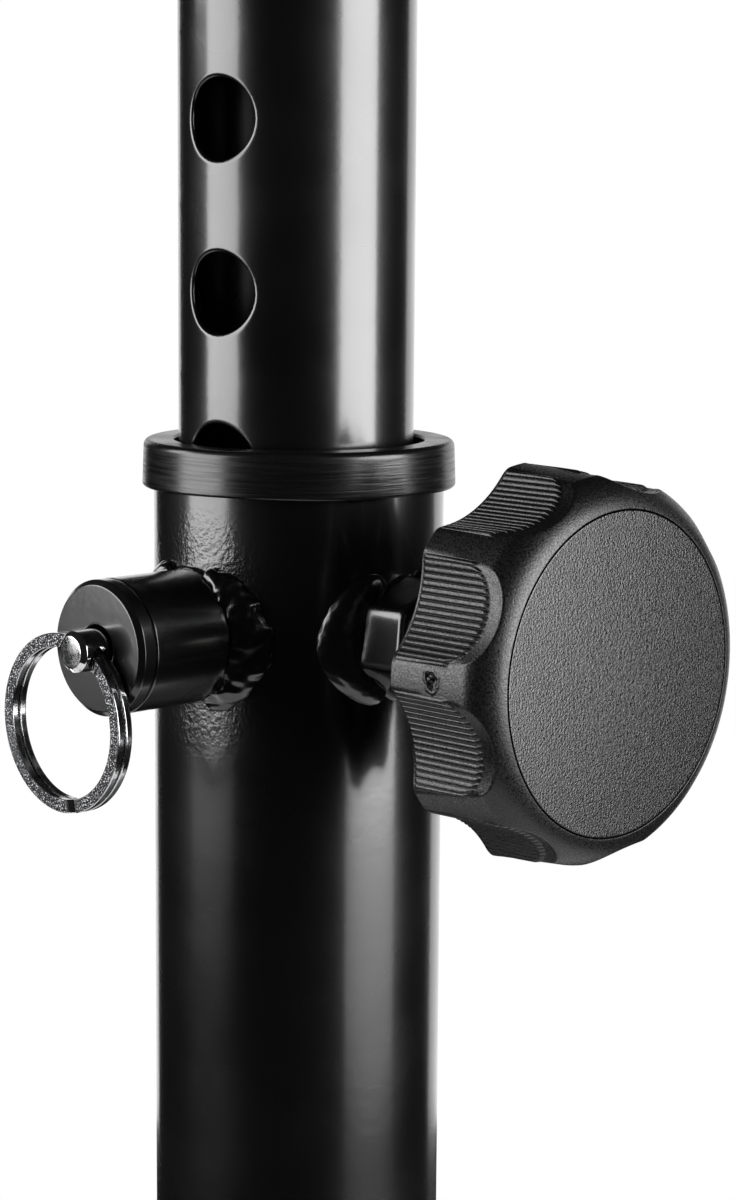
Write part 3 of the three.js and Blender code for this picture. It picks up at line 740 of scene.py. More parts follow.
@dataclass
class PiercedTube:
    """A round tube with holes, whose wall is one even skin that runs into each hole's rounded edge."""

    radius: float
    wall: float
    bottom: float
    top: float
    holes: list[Hole]
    patch: float
    edge: float = 0.3
    hole_edge: float = 0.5
    cuts: int = 12
    widest_column: float = 2.5
    widest_row: float = 20.0
    edge_share: float = 0.9
    patch_shares: tuple[float, ...] = (0, 0.25, 0.5, 0.72, 0.88, 0.96, 1)

    @staticmethod
    def grid_lines(spans: list[Span], start: float, stop: float, widest: float,
                   cuts: int) -> list[float]:
        """Places grid lines from start to stop.

        Args:
            spans: stretches that are each cut in as many cells
            start: the first line
            stop: the last line
            widest: the widest cell between spans
            cuts: cells in each span
        Returns:
            The lines' places, in order.
        """
        lines = []
        at = start
        for low, high in [*spans, (stop, stop)]:
            if low - at > WELD_DISTANCE:
                cells = math.ceil((low - at) / widest)
                lines += [at + (low - at) * i / cells for i in range(cells)]
            if high > low:
                lines += [low + (high - low) * i / cuts for i in range(cuts)]
            at = high
        return [*lines, stop]

    def hole_rings(self, hole: Hole, border_angles: np.ndarray, border_heights: np.ndarray) -> np.ndarray:
        """Carries the skin from the outer wall through a hole to the inner wall.

        Args:
            hole: the hole
            border_angles: azimuths of the points round its patch, in radians
            border_heights: their heights
        Returns:
            Rings of points, in the pole's own frame.
        """
        bore = self.radius - self.wall
        off = border_angles - math.radians(hole.azimuth)
        rise = border_heights - hole.height
        toward = np.arctan2(rise, self.radius * np.sin(off))
        stations = [(self.radius, share, 0.0) for share in self.patch_shares]
        quarter = [(self.hole_edge * (1 - math.cos(b)), math.sin(b))
                   for b in np.linspace(0, math.pi / 2, QUARTER_POINTS)]
        stations += [(self.radius - sunk, 1.0, tuck) for sunk, tuck in quarter[1:]]
        stations += [(bore + sunk, 1.0, tuck) for sunk, tuck in quarter[::-1]]
        stations += [(bore, share, 0.0) for share in self.patch_shares[-2::-1]]
        rings = []
        for radius, share, tuck in stations:
            rim = hole.radius + self.hole_edge * (1 - tuck)
            x = (1 - share) * radius * np.sin(off) + share * rim * np.cos(toward)
            y = (1 - share) * rise + share * rim * np.sin(toward)
            rings.append(np.stack((x, y, np.sqrt(radius ** 2 - x ** 2)), axis=1))
        place = np.array(outward(hole.azimuth, hole.height))
        return np.array(rings) @ place[:3, :3].T + place[:3, 3]

    def shell(self) -> Shell:
        """Makes the tube's whole skin, centred on the axis.

        Returns:
            The shell, closed at both ends and through each hole.
        """
        half = math.degrees(self.patch / self.radius)
        azimuths = sorted({hole.azimuth for hole in self.holes})
        heights = sorted({hole.height for hole in self.holes})
        start = azimuths[0] - half
        columns = self.grid_lines([(a - half, a + half) for a in azimuths], start, start + 360,
                                  self.widest_column, self.cuts)[:-1]
        rows = self.grid_lines([(h - self.patch, h + self.patch) for h in heights],
                               self.bottom + self.edge, self.top - self.edge, self.widest_row, self.cuts)
        angles = np.radians(columns)
        shell = Shell()
        left_out = set()
        for hole in self.holes:
            i = int(np.argmin(np.abs(np.array(rows) - (hole.height - self.patch))))
            j = int(np.argmin(np.abs(np.array(columns) - (hole.azimuth - half))))
            left_out.update((i + p, j + q) for p in range(self.cuts) for q in range(self.cuts))
            round_about = [(i, j + q) for q in range(self.cuts)]
            round_about += [(i + p, j + self.cuts) for p in range(self.cuts)]
            round_about += [(i + self.cuts, j + self.cuts - q) for q in range(self.cuts)]
            round_about += [(i + self.cuts - p, j) for p in range(self.cuts)]
            border_rows, border_columns = zip(*round_about)
            around = len(columns)
            border_angles = np.array([angles[c % around] for c in border_columns])
            rings = self.hole_rings(hole, border_angles, np.array(rows)[list(border_rows)])
            shell.add_rings(rings, Ends.OPEN)
        bore = self.radius - self.wall
        for radius in (self.radius, bore):
            line = np.array([(radius, height) for height in rows])
            first = shell.add_points(turned(line, angles))
            for i in range(len(rows) - 1):
                for j in range(len(columns)):
                    if (i, j) not in left_out:
                        k = (j + 1) % len(columns)
                        low = first + i * len(columns)
                        high = low + len(columns)
                        shell.faces.append((low + j, low + k, high + k, high + j))
        for end, way in ((self.bottom, 1), (self.top, -1)):
            fillet = self.edge * self.edge_share
            rim = rounded([(self.radius, end + way * self.edge, 0), (self.radius, end, fillet),
                           (bore, end, fillet), (bore, end + way * self.edge, 0)], closed=False)
            shell.add_rings(turned(rim, angles), Ends.OPEN)
        return shell


@dataclass
class Mast(SubAssembly):
    """The upper tube with its row of holes, and the plug, adaptor and screw at its ends."""

    finish: Finish
    plastic: Finish
    steel: Finish
    wall: float = 1.5
    turn: float = 6.5
    hole_pitch: float = 20.0
    hole_radius: float = 4.75
    holes_below: int = 12
    holes_above: int = 6
    shoulder_radius: float = 20.95
    shoulder_height: float = 4.0
    shoulder_round: float = 0.6
    lead_in: float = 1.5
    adaptor_clearance: float = 0.1
    screw_radius: float = 1.7
    screw_head_radius: float = 3.4
    screw_head: float = 1.7
    screw_length: float = 7.0
    screw_point: float = 1.5
    screw_sunk: float = 0.3
    screw_clearance: float = 0.2
    socket_radius: float = 1.3
    plug_flange: float = 3.0
    plug_inset: float = 5.1
    plug_bore: float = 8.0

    def build(self) -> None:
        """Makes the mast's pieces, all on the upper pole."""
        low, high = node_box("upper_tube")
        centre = ((low.x + high.x) / 2, (low.y + high.y) / 2)
        radius = (high.x - low.x) / 2
        holes = [Hole(0.0, self.lock_height + i * self.hole_pitch, self.hole_radius)
                 for i in range(-self.holes_below, self.holes_above + 1)]
        tube = PiercedTube(radius, self.wall, low.z, high.z, holes, self.hole_pitch / 2)
        place = Matrix.Translation((*centre, 0)) @ Matrix.Rotation(math.radians(self.turn), 4, "Z")
        self.keep(tube.shell().build("mast_tube", place), Body.UPPER, self.finish, "upper_tube")
        self.build_adaptor(place, radius)
        self.build_top_plug(place)

    def build_adaptor(self, place: Matrix, tube_radius: float) -> None:
        """Makes the adaptor with its countersunk screw.

        Args:
            place: the mast's place
            tube_radius: radius of the tube that the adaptor is pushed on
        """
        low, high = node_box("top_adaptor")
        bore = tube_radius + self.adaptor_clearance
        plug_low, plug_high = node_box("top_plug")
        radius = (plug_high.x - plug_low.x) / 2
        step = low.z + self.shoulder_height
        corners = [(bore, low.z, 0.2), (self.shoulder_radius, low.z, self.shoulder_round),
                   (self.shoulder_radius, step, self.shoulder_round), (radius, step, 0.5),
                   (radius, high.z - self.lead_in, 0.4), (radius - self.shoulder_round, high.z, 0.3),
                   (bore, high.z, 0.2)]
        adaptor = lathe("socket_adaptor", corners, True, place, LARGE_FACETS)
        screw_low, screw_high = node_box("adaptor_screw")
        across = place @ outward(Side.BACK.value, (screw_low.z + screw_high.z) / 2)
        face = radius - self.screw_sunk
        start = face - self.screw_head
        shank = self.screw_radius + self.screw_clearance
        head = self.screw_head_radius + self.screw_clearance
        sink = [(AXIS, 0, 0), (shank, 0, 0), (shank, start, 0), (head, face, 0),
                (head, radius + OVERRUN, 0), (AXIS, radius + OVERRUN, 0)]
        carve(adaptor, lathe("sink", sink, False, across, SMALL_FACETS))
        self.keep(adaptor, Body.UPPER, self.plastic, "top_adaptor")
        point = face - self.screw_length
        body = [(AXIS, point, 0), (self.screw_radius, point + self.screw_point, 0.2),
                (self.screw_radius, start, 0.1), (self.screw_head_radius, face, 0.15), (AXIS, face, 0)]
        screw = lathe("countersunk_screw", body, False, across, SMALL_FACETS)
        floor = face - self.screw_head / 2
        drive = [(AXIS, floor, 0), (self.socket_radius, floor, 0),
                 (self.socket_radius, face + OVERRUN, 0), (AXIS, face + OVERRUN, 0)]
        carve(screw, lathe("drive", drive, False, across, HEXAGON))
        self.keep(screw, Body.UPPER, self.steel, "adaptor_screw")

    def build_top_plug(self, place: Matrix) -> None:
        """Makes the end plug that closes the adaptor.

        Args:
            place: the mast's place
        """
        low, high = node_box("top_plug")
        radius = (high.x - low.x) / 2
        flange = high.z - self.plug_flange
        stem = self.tube_radius - self.plug_inset
        corners = [(self.plug_bore, flange, 0), (self.plug_bore, low.z, 0.3), (stem, low.z, 0.6),
                   (stem, flange, 0), (radius, flange, 0.3), (radius, high.z, self.lead_in),
                   (AXIS, high.z, 0)]
        plug = lathe("end_plug", corners, False, place, LARGE_FACETS)
        self.keep(plug, Body.UPPER, self.plastic, "top_plug")


@dataclass
class LowerTube(SubAssembly):
    """The outer tube with its two holes, and the plug in its foot."""

    finish: Finish
    plastic: Finish
    wall: float = 1.5
    pin_hole_radius: float = 3.6
    screw_hole_radius: float = 4.5
    patch: float = 7.0
    foot_flange: float = 3.0
    foot_stem_wall: float = 2.2
    foot_round: float = 0.6

    def build(self) -> None:
        """Makes the tube and its foot, on the lower pole."""
        low, high = node_box("lower_tube")
        holes = [Hole(Side.PIN.value, self.lock_height, self.pin_hole_radius),
                 Hole(Side.KNOB.value, self.lock_height, self.screw_hole_radius)]
        tube = PiercedTube(self.tube_radius, self.wall, low.z, high.z, holes, self.patch)
        self.keep(tube.shell().build("outer_tube"), Body.LOWER, self.finish, "lower_tube")
        foot_low, foot_high = node_box("foot_plug")
        stem = self.tube_radius - self.wall
        cup = stem - self.foot_stem_wall
        corners = [(AXIS, foot_low.z, 0), (self.tube_radius, foot_low.z, self.foot_round),
                   (self.tube_radius, self.foot_flange, 0.2), (stem, self.foot_flange, 0),
                   (stem, foot_high.z, 0.6), (cup, foot_high.z, 0.6), (cup, self.foot_flange, 0.5),
                   (AXIS, self.foot_flange, 0)]
        foot = lathe("foot_cap", corners, False, Matrix.Identity(4), LARGE_FACETS)
        self.keep(foot, Body.LOWER, self.plastic, "foot_plug")


@dataclass
class Collar(SubAssembly):
    """The moulded guide bush on the outer tube's end."""

    finish: Finish
    plate: float = 2.0
    sleeve: float = 11.5
    top_round: float = 0.8
    draft: float = 0.2
    bore_clearance: float = 0.9
    sleeve_inset: float = 1.7
    skirt_clearance: float = 0.2
    flash: float = 0.07
    flash_wave: float = 9.0
    flash_reach: float = 0.5
    facets: int = 288

    def build(self) -> None:
        """Makes the collar, whose lower edge is slightly uneven where the mould's flash was trimmed."""
        low, high = node_box("collar")
        mast_low, mast_high = node_box("upper_tube")
        radius = (high.x - low.x) / 2
        bore = (mast_high.x - mast_low.x) / 2 + self.bore_clearance
        underside = low.z + self.sleeve
        sleeve_radius = self.tube_radius - self.sleeve_inset
        skirt = self.tube_radius + self.skirt_clearance
        inner = high.z - self.plate
        line = rounded([(skirt, underside, 0.15), (radius, underside, 0.3),
                        (radius - self.draft, high.z, self.top_round), (bore, high.z, 0.35),
                        (bore, low.z, 0.2), (sleeve_radius, low.z, 0.2), (sleeve_radius, inner, 0),
                        (skirt, inner, 0)], steps=8)
        angles = circle(self.facets)
        rings = turned(line, angles)
        outer = line[:, 0] > skirt - WELD_DISTANCE
        near_edge = (np.abs(line[:, 1] - underside) < self.flash_reach) & outer
        rim = rings[np.argmax(near_edge)]
        rings[near_edge, :, 2] += self.flash * lumps(rim[:, 0], rim[:, 1], seed=4, finest=self.flash_wave)
        shell = Shell()
        shell.add_rings(rings, Ends.LOOPED)
        self.keep(shell.build("guide_collar"), Body.LOWER, self.finish, "collar")


@dataclass
class WeldBead:
    """A lumpy bead of weld along part of the seam between a stub and the tube."""

    stub_radius: float
    tube_radius: float
    middle: float
    seed: int
    span: float = 136.0
    leg: float = 2.7
    rise_share: float = 1.0
    end_share: float = 0.3
    lump: float = 2.2
    lump_share: float = 0.1
    ripple: float = 0.9
    ripple_share: float = 0.035
    sunk: float = 0.4
    steps: int = 150
    section_steps: int = 18

    def shell(self) -> Shell:
        """Makes the bead.

        Returns:
            The bead in the stub's own frame.
        """
        along = np.linspace(0, 1, self.steps)
        a = np.radians(self.middle + self.span * (along - 0.5))[:, None]
        b = np.linspace(0, math.pi / 2, self.section_steps)[None, :]
        swell = self.end_share + (1 - self.end_share) * np.sqrt(np.sin(math.pi * along))[:, None]
        reach = self.stub_radius * a, self.leg * b
        uneven = 1 + self.lump_share * lumps(*reach, self.seed, self.lump)
        uneven = uneven + self.ripple_share * lumps(*reach, self.seed + RIPPLE_SEEDS, self.ripple)
        leg = self.leg * swell * uneven
        root = np.full((self.steps, 1), -self.sunk)
        off = np.concatenate((root, leg * np.cos(b)), axis=1)
        rise = np.concatenate((root, self.rise_share * leg * np.sin(b)), axis=1)
        x = (self.stub_radius + off) * np.cos(a)
        y = (self.stub_radius + off) * np.sin(a)
        rings = np.stack((x, y, np.sqrt(self.tube_radius ** 2 - x ** 2) + rise), axis=2)
        shell = Shell()
        shell.add_rings(rings, Ends.CAPPED)
        return shell


@dataclass
class Stub(SubAssembly):
    """A steel stub welded to the tube: what the pin's boss and the clamp nut have in common."""

    finish: Finish
    cove: float = 0.7
    cove_points: int = 6
    sunk: float = 0.1
    edge_run: float = 4.0
    bore_round: float = 0.2
    mouth: float = 1.0

    def outline(self, angles: np.ndarray) -> np.ndarray:
        """Returns how far the outside stands out at each angle, as a share of the radius: 1 where round."""
        return np.ones_like(angles)

    def stub_shell(self, radius: float, bore: float, end: float, edge: float) -> Shell:
        """Makes a stub whose foot follows the tube and runs into it in a small cove.

        Args:
            radius: the stub's radius
            bore: its bore's radius
            end: its flat end from the pole's axis
            edge: round on its end
        Returns:
            The stub in its own frame.
        """
        seated = [(radius + self.cove * (1 - math.sin(b)), self.cove * (1 - math.cos(b)) - self.sunk)
                  for b in np.linspace(0, math.pi / 2, self.cove_points)]
        free = rounded([(radius, end - self.edge_run * edge, 0), (radius, end, edge),
                        (bore, end, self.bore_round), (bore, end - self.mouth, 0)], closed=False)
        angles = circle(FACETS)
        outline = self.outline(angles)[:, None]
        rings = []
        for ring_radius, rise in [*seated, (radius, self.cove + self.sunk)]:
            ring = turned(np.array([(ring_radius, 0)]), angles)[0]
            ring[:, :2] *= outline
            ring[:, 2] = np.sqrt(self.tube_radius ** 2 - ring[:, 0] ** 2) + rise
            rings.append(ring)
        for (ring_radius, _), ring in zip(free, turned(free, angles)):
            ring[:, :2] *= 1 + (outline - 1) * (ring_radius - bore) / (radius - bore)
            rings.append(ring)
        last = turned(np.array([(bore, 0)]), angles)[0]
        last[:, 2] = np.sqrt(self.tube_radius ** 2 - last[:, 0] ** 2) - self.sunk
        rings.append(last)
        shell = Shell()
        shell.add_rings(np.array(rings), Ends.LOOPED)
        return shell

    def build_weld(self, name: str, bead: WeldBead, place: Matrix, node: str) -> None:
        """Makes one bead of weld, for a CAD node."""
        self.keep(bead.shell().build(name, place), Body.LOWER, self.finish, node)


@dataclass
class PinBoss(Stub):
    """The pin's round housing, its end cap and its welds."""

    radius: float = 7.9
    bore: float = 5.6
    face: float = 31.6
    cap_band: float = 2.3
    cap_chamfer: float = 0.6
    cap_spigot: float = 0.9
    spigot_clearance: float = 0.1
    seam: float = 0.08
    seam_round: float = 0.22
    rod_bore: float = 2.75

    def build(self) -> None:
        """Makes the boss on the pin's side."""
        place = outward(Side.PIN.value, self.lock_height)
        cap_back = self.face - self.cap_band
        boss = self.stub_shell(self.radius, self.bore, cap_back - self.seam, self.seam_round)
        self.keep(boss.build("pin_housing", place), Body.LOWER, self.finish, "pin_boss")
        spigot = self.bore - self.spigot_clearance
        spigot_end = cap_back - self.cap_spigot
        corners = [(self.rod_bore, spigot_end, 0), (spigot, spigot_end, 0.2), (spigot, cap_back, 0),
                   (self.radius, cap_back, self.seam_round),
                   (self.radius, self.face - self.cap_chamfer, 0.2),
                   (self.radius - self.cap_chamfer, self.face, 0.16), (self.rod_bore, self.face, 0.2)]
        self.keep(lathe("housing_cap", corners, True, place), Body.LOWER, self.finish, "boss_cap")
        near = WeldBead(self.radius, self.tube_radius, 0.0, seed=11)
        far = WeldBead(self.radius, self.tube_radius, 180.0, seed=12)
        self.build_weld("housing_weld_right", near, place, "boss_weld_near_knob")
        self.build_weld("housing_weld_left", far, place, "boss_weld_far")


@dataclass
class ClampNut(Stub):
    """The hexagonal nut that takes the clamp screw, with a flat towards the pin's side, and its welds."""

    radius: float = 6.5
    bore: float = 4.2
    end: float = 24.2
    end_round: float = 0.9
    corner_power: float = 16.0
    tilt: float = 6.0
    bead_leg: float = 4.2
    bead_rise: float = 0.42
    bead_lump: float = 6.0
    bead_lump_share: float = 0.07
    bead_ripple_share: float = 0.01

    def outline(self, angles: np.ndarray) -> np.ndarray:
        """Returns a hexagon whose corners are softened by the coat."""
        flats = [np.abs(np.sin(angles + math.radians(self.tilt + 60 * k))) for k in range(3)]
        return sum(flat ** self.corner_power for flat in flats) ** (-1 / self.corner_power)

    def build(self) -> None:
        """Makes the nut on the knob's side."""
        place = outward(Side.KNOB.value, self.lock_height)
        nut = self.stub_shell(self.radius, self.bore, self.end, self.end_round).build("welded_nut", place)
        self.keep(nut, Body.LOWER, self.finish, "clamp_nut")
        form = {"leg": self.bead_leg, "rise_share": self.bead_rise, "lump": self.bead_lump,
                "lump_share": self.bead_lump_share, "ripple_share": self.bead_ripple_share}
        near = WeldBead(self.radius, self.tube_radius, 180.0, seed=13, **form)
        far = WeldBead(self.radius, self.tube_radius, 0.0, seed=14, **form)
        self.build_weld("nut_weld_left", near, place, "nut_weld_near_pin")
        self.build_weld("nut_weld_right", far, place, "nut_weld_far")


@dataclass
class LockPin(SubAssembly):
    """The turned pin: tip, flange for the spring, and the rod with its cross hole."""

    finish: Finish
    tip_end: float = 11.1
    tip_radius: float = 3.25
    tip_chamfer: float = 0.8
    flange_start: float = 17.8
    flange: float = 1.3
    flange_radius: float = 4.3
    rod_radius: float = 2.4
    rod_end: float = 35.5
    end_chamfer: float = 0.55
    end_crown: float = 0.02
    crown_shares: tuple[float, ...] = (0.85, 0.68, 0.5, 0.32, 0.15)
    cross_radius: float = 1.5
    cross_place: float = 33.0
    cross_facets: int = 64
    cross_overrun: float = 1.0
    lean: float = 23.0
    facets: int = 160

    def build(self) -> None:
        """Makes the pin, with the hole that the ring runs through."""
        place = outward(Side.PIN.value, self.lock_height)
        flange_end = self.flange_start + self.flange
        shank = self.rod_end - self.end_chamfer
        rim = self.rod_radius - self.end_chamfer
        crown = [(rim * share, self.rod_end - self.end_crown * share ** 2, 0)
                 for share in self.crown_shares]
        corners = [(AXIS, self.tip_end, 0), (self.tip_radius - self.tip_chamfer, self.tip_end, 0.2),
                   (self.tip_radius, self.tip_end + self.tip_chamfer, 0.3),
                   (self.tip_radius, self.flange_start, 0), (self.flange_radius, self.flange_start, 0.15),
                   (self.flange_radius, flange_end, 0.15), (self.rod_radius, flange_end, 0),
                   (self.rod_radius, shank, 0.18), (rim, self.rod_end - self.end_crown, 0.12), *crown,
                   (AXIS, self.rod_end, 0)]
        pin = lathe("locking_pin", corners, False, place, self.facets)
        lean = Matrix.Rotation(math.radians(-self.lean), 4, "Z")
        sideways = place @ (Matrix.Translation((0, 0, self.cross_place)) @ lean)
        sideways = sideways @ Matrix.Rotation(math.pi / 2, 4, "Y")
        reach = self.rod_radius + self.cross_overrun
        cross = [(AXIS, -reach, 0), (self.cross_radius, -reach, 0), (self.cross_radius, reach, 0),
                 (AXIS, reach, 0)]
        carve(pin, lathe("cross", cross, False, sideways, self.cross_facets))
        self.keep(pin, Body.PIN, self.finish, "lock_pin")


@dataclass
class SplitRing(SubAssembly):
    """Two turns of flat wire with a short step between them, as on a key ring, and ground ends."""

    finish: Finish
    band: float = 1.6
    wire: float = 0.95
    corner: float = 0.16
    turn_pitch: float = 1.12
    turns: float = 2.0
    end_gap: float = 1.3
    step: float = 2.2
    front_end: float = 283.0
    taper: float = 0.7
    tip_share: float = 0.7
    guard: float = 0.06
    steps: int = 720

    def section(self) -> np.ndarray:
        """Lays out the wire's section.

        Returns:
            Its points, as offsets across the band and through it.
        """
        half_band = self.band / 2 - self.corner
        half_wire = self.wire / 2 - self.corner
        points = []
        for across, through, start in ((1, 1, 0), (-1, 1, 90), (-1, -1, 180), (1, -1, 270)):
            for a in np.radians(np.linspace(start, start + 90, QUARTER_POINTS)):
                points.append((across * half_band + self.corner * math.cos(a),
                               through * half_wire + self.corner * math.sin(a)))
        return guarded([np.array(point) for point in points], True, self.guard)

    def build(self) -> None:
        """Makes the ring where it hangs through the pin."""
        low, high = node_box("split_ring")
        mean = (high.z - low.z) / 2 - self.band / 2
        wound = 2 * math.pi * self.turns - self.end_gap / mean
        share = np.linspace(0, 1, self.steps)
        a = wound * share
        step_share = self.step / mean / wound
        climb = np.clip((share - (1 - step_share) / 2) / step_share, 0, 1)
        climb = climb * climb * (3 - 2 * climb)
        section = self.section()
        radius = mean + section[None, :, 0]
        height = self.turn_pitch * (climb - 0.5)
        near_end = np.clip(1 - mean * np.minimum(a, wound - a) / self.taper, 0, 1)
        ground = 1 - near_end * (1 - self.tip_share)
        seat = np.where(share < 0.5, self.wire / 2, -self.wire / 2)[:, None]
        through = seat + (section[None, :, 1] - seat) * ground[:, None]
        rings = np.stack((radius * np.cos(a)[:, None], -radius * np.sin(a)[:, None],
                          height[:, None] + through), axis=2)
        shell = Shell()
        shell.add_rings(rings, Ends.CAPPED)
        middle = (low + high) / 2
        spin = Matrix.Rotation(math.radians(self.front_end) + wound, 4, "Z")
        place = outward(Side.PIN.value, middle.z, (middle.x, middle.y)) @ spin
        self.keep(shell.build("pull_ring", place), Body.RING, self.finish, "split_ring")


@dataclass
class Knob(SubAssembly):
    """The star knob: a ribbed, scalloped grip with a webbed well, its cap and the clamp screw."""

    finish: Finish
    cap_finish: Finish
    steel: Finish
    rear: float = 38.1
    face: float = 51.7
    front_top: float = 51.6
    radius: float = 22.45
    draft: float = 0.72
    lobes: int = 9
    turn: float = 17.5
    scallop_floor: float = 20.1
    scallop_radius: float = 13.9
    blend: float = 0.4
    shoulder: float = 48.0
    rim_radius: float = 17.8
    front_power: float = 1.7
    front_steps: int = 36
    lip: float = 0.2
    lip_reach: float = 0.6
    rear_round: float = 0.35
    rib_height: float = 0.28
    rib_pitch: float = 0.73
    ribs: int = 17
    crest_power: float = 3.4
    flank_power: float = 0.6
    edge_fade: float = 0.22
    rib_start: float = 0.3
    rib_stop: float = 1.7
    rib_fade: float = 0.9
    hub_radius: float = 8.2
    hub_rear: float = 31.5
    well: float = 7.4
    well_radius: float = 15.6
    rear_inset: float = 0.8
    web: float = 1.8
    web_overlap: float = 0.4
    web_sunk: float = 0.3
    bore: float = 4.2
    cap_radius: float = 18.05
    cap_gap: float = 0.15
    cap_thickness: float = 2.0
    cap_crown: float = 0.15
    cap_edge: float = 0.08
    cap_rings: int = 41
    recess_clearance: float = 0.3
    seat_margin: float = 0.2
    gate_place: float = 5.9
    gate_lobe: int = 4
    gate_radius: float = 1.0
    gate_depth: float = 0.3
    gate_pit_reach: float = 0.75
    gate_rim: float = 0.1
    gate_rim_width: float = 0.18
    gate_end: float = 2.0
    gate_ragged: tuple[tuple[float, int, int], ...] = ((0.16, 2, 1), (0.1, 3, 2), (0.07, 7, 0))
    gate_torn: float = 0.5
    gate_tear: float = 0.6
    gate_reach: float = 1.6
    gate_rows: int = 27
    rear_rows: tuple[float, ...] = (0.5, 0.62, 0.8)
    row: float = 0.2
    columns_per_rib: int = 8
    land_columns: int = 26
    thread_pitch: float = 1.25
    thread_radius: float = 3.9
    thread_depth: float = 0.62
    thread_steps: int = 10
    thread_facets: int = 64
    flank_slope: float = 1.25
    crest_flat: float = 0.1
    screw_start: float = 17.6
    screw_lead_in: float = 0.6
    screw_neck: float = 3.2
    nose_radius: float = 1.6
    nose: float = 2.2
    head_flats: float = 13.0
    head_start: float = 42.9
    head_end: float = 47.9
    head_sharp: float = 50.0

    @property
    def pitch(self) -> float:
        """Returns the angle from one lobe to the next, in radians."""
        return 2 * math.pi / self.lobes

    def columns(self) -> np.ndarray:
        """Places the grip's columns, close together over the ribs.

        Returns:
            Their angles, in radians.
        """
        groove = self.scallop_radius
        centre = self.scallop_floor + groove
        half = (self.ribs + 1) / 2
        reach = half * self.rib_pitch / groove
        span = math.atan2(groove * math.sin(reach), centre - groove * math.cos(reach))
        across = half * np.linspace(-1, 1, (self.ribs + 1) * self.columns_per_rib, endpoint=False)
        crest = np.round(across)
        along = (crest + np.sin(math.pi * (across - crest)) / 2) * self.rib_pitch / groove
        dense = np.arctan2(groove * np.sin(along), centre - groove * np.cos(along))
        plain = np.linspace(span, self.pitch - span, self.land_columns, endpoint=False)
        one = np.concatenate((dense, plain)) + self.pitch / 2 + math.radians(self.turn)
        return np.concatenate([one + self.pitch * lobe for lobe in range(self.lobes)])

    def front_height(self, radius: np.ndarray | float) -> np.ndarray:
        """Follows the rounded front from the shoulder to its top.

        Args:
            radius: distance from the knob's axis
        Returns:
            The height at which the front comes down to that radius.
        """
        over = self.radius - self.draft - self.rim_radius
        share = np.clip((radius - self.rim_radius) / over, 0, 1)
        rise = (1 - share ** self.front_power) ** (1 / self.front_power)
        return self.shoulder + (self.front_top - self.shoulder) * rise

    def gate_mark(self, angles: np.ndarray, height: float) -> np.ndarray:
        """Shapes the torn stub of the moulding gate on one lobe: a ragged pit with a low rim.

        Args:
            angles: the columns' angles
            height: the ring's place along the knob's axis
        Returns:
            How far it stands out of the lobe, or is sunk into it where that is negative.
        """
        middle = math.radians(self.turn) + self.gate_lobe * self.pitch
        across = self.radius * np.angle(np.exp(1j * (angles - middle)))
        along = height - self.rear - self.gate_place
        bearing = np.arctan2(along, across)
        ragged = np.ones_like(bearing)
        for share, points, start in self.gate_ragged:
            ragged = ragged + share * np.sin(points * bearing + start)
        away = np.hypot(across, along) / self.gate_radius / ragged
        torn = 1 + self.gate_torn * lumps(across, np.array(along), seed=31, finest=self.gate_tear)
        pit = self.gate_depth * torn * np.exp(-(away / self.gate_pit_reach) ** 4)
        rim = self.gate_rim * np.exp(-((away - 1.0) / self.gate_rim_width) ** 2)
        return np.where(away < self.gate_end, rim - pit, 0)

    def grip(self, angles: np.ndarray, height: float, land: float) -> np.ndarray:
        """Gives one ring of the grip.

        Args:
            angles: the columns' angles
            height: the ring's place along the knob's axis
            land: radius of the lobes there
        Returns:
            The ring's points.
        """
        offset = np.mod(angles - math.radians(self.turn), self.pitch) - self.pitch / 2
        centre = self.scallop_floor + self.scallop_radius
        side = centre * np.sin(offset)
        inside = np.abs(side) < self.scallop_radius
        depth = np.sqrt(np.where(inside, self.scallop_radius ** 2 - side ** 2, 0))
        floor = np.where(inside, centre * np.cos(offset) - depth, land + self.blend)
        front = self.front_height(floor)
        flare = np.clip((height - front + self.lip_reach) / self.lip_reach, 0, 1)
        floor = floor + self.lip * flare * flare
        share = np.clip(0.5 + (land - floor) / (2 * self.blend), 0, 1)
        radius = land + (floor - land) * share - self.blend * share * (1 - share)
        along = self.scallop_radius * (np.arcsin(np.clip(side / self.scallop_radius, -1, 1)) - offset)
        beside = np.abs(2 * (along / self.rib_pitch - np.round(along / self.rib_pitch)))
        ridge = (1 - np.minimum(beside, 1) ** self.crest_power) ** self.flank_power
        reach = self.ribs * self.rib_pitch / 2 - self.edge_fade
        window = np.clip((reach - np.abs(along)) / self.rib_pitch + 0.5, 0, 1)
        left = np.clip((front - self.rib_stop - height) / self.rib_fade, 0, 1)
        begun = np.clip((height - self.rear - self.rib_start) / self.rib_start, 0, 1)
        radius = radius + self.rib_height * ridge * window * begun * left * left * (3 - 2 * left)
        radius = radius + self.gate_mark(angles, height)
        x, y = radius * np.cos(angles), radius * np.sin(angles)
        return np.stack((x, y, np.full_like(angles, height)), axis=1)

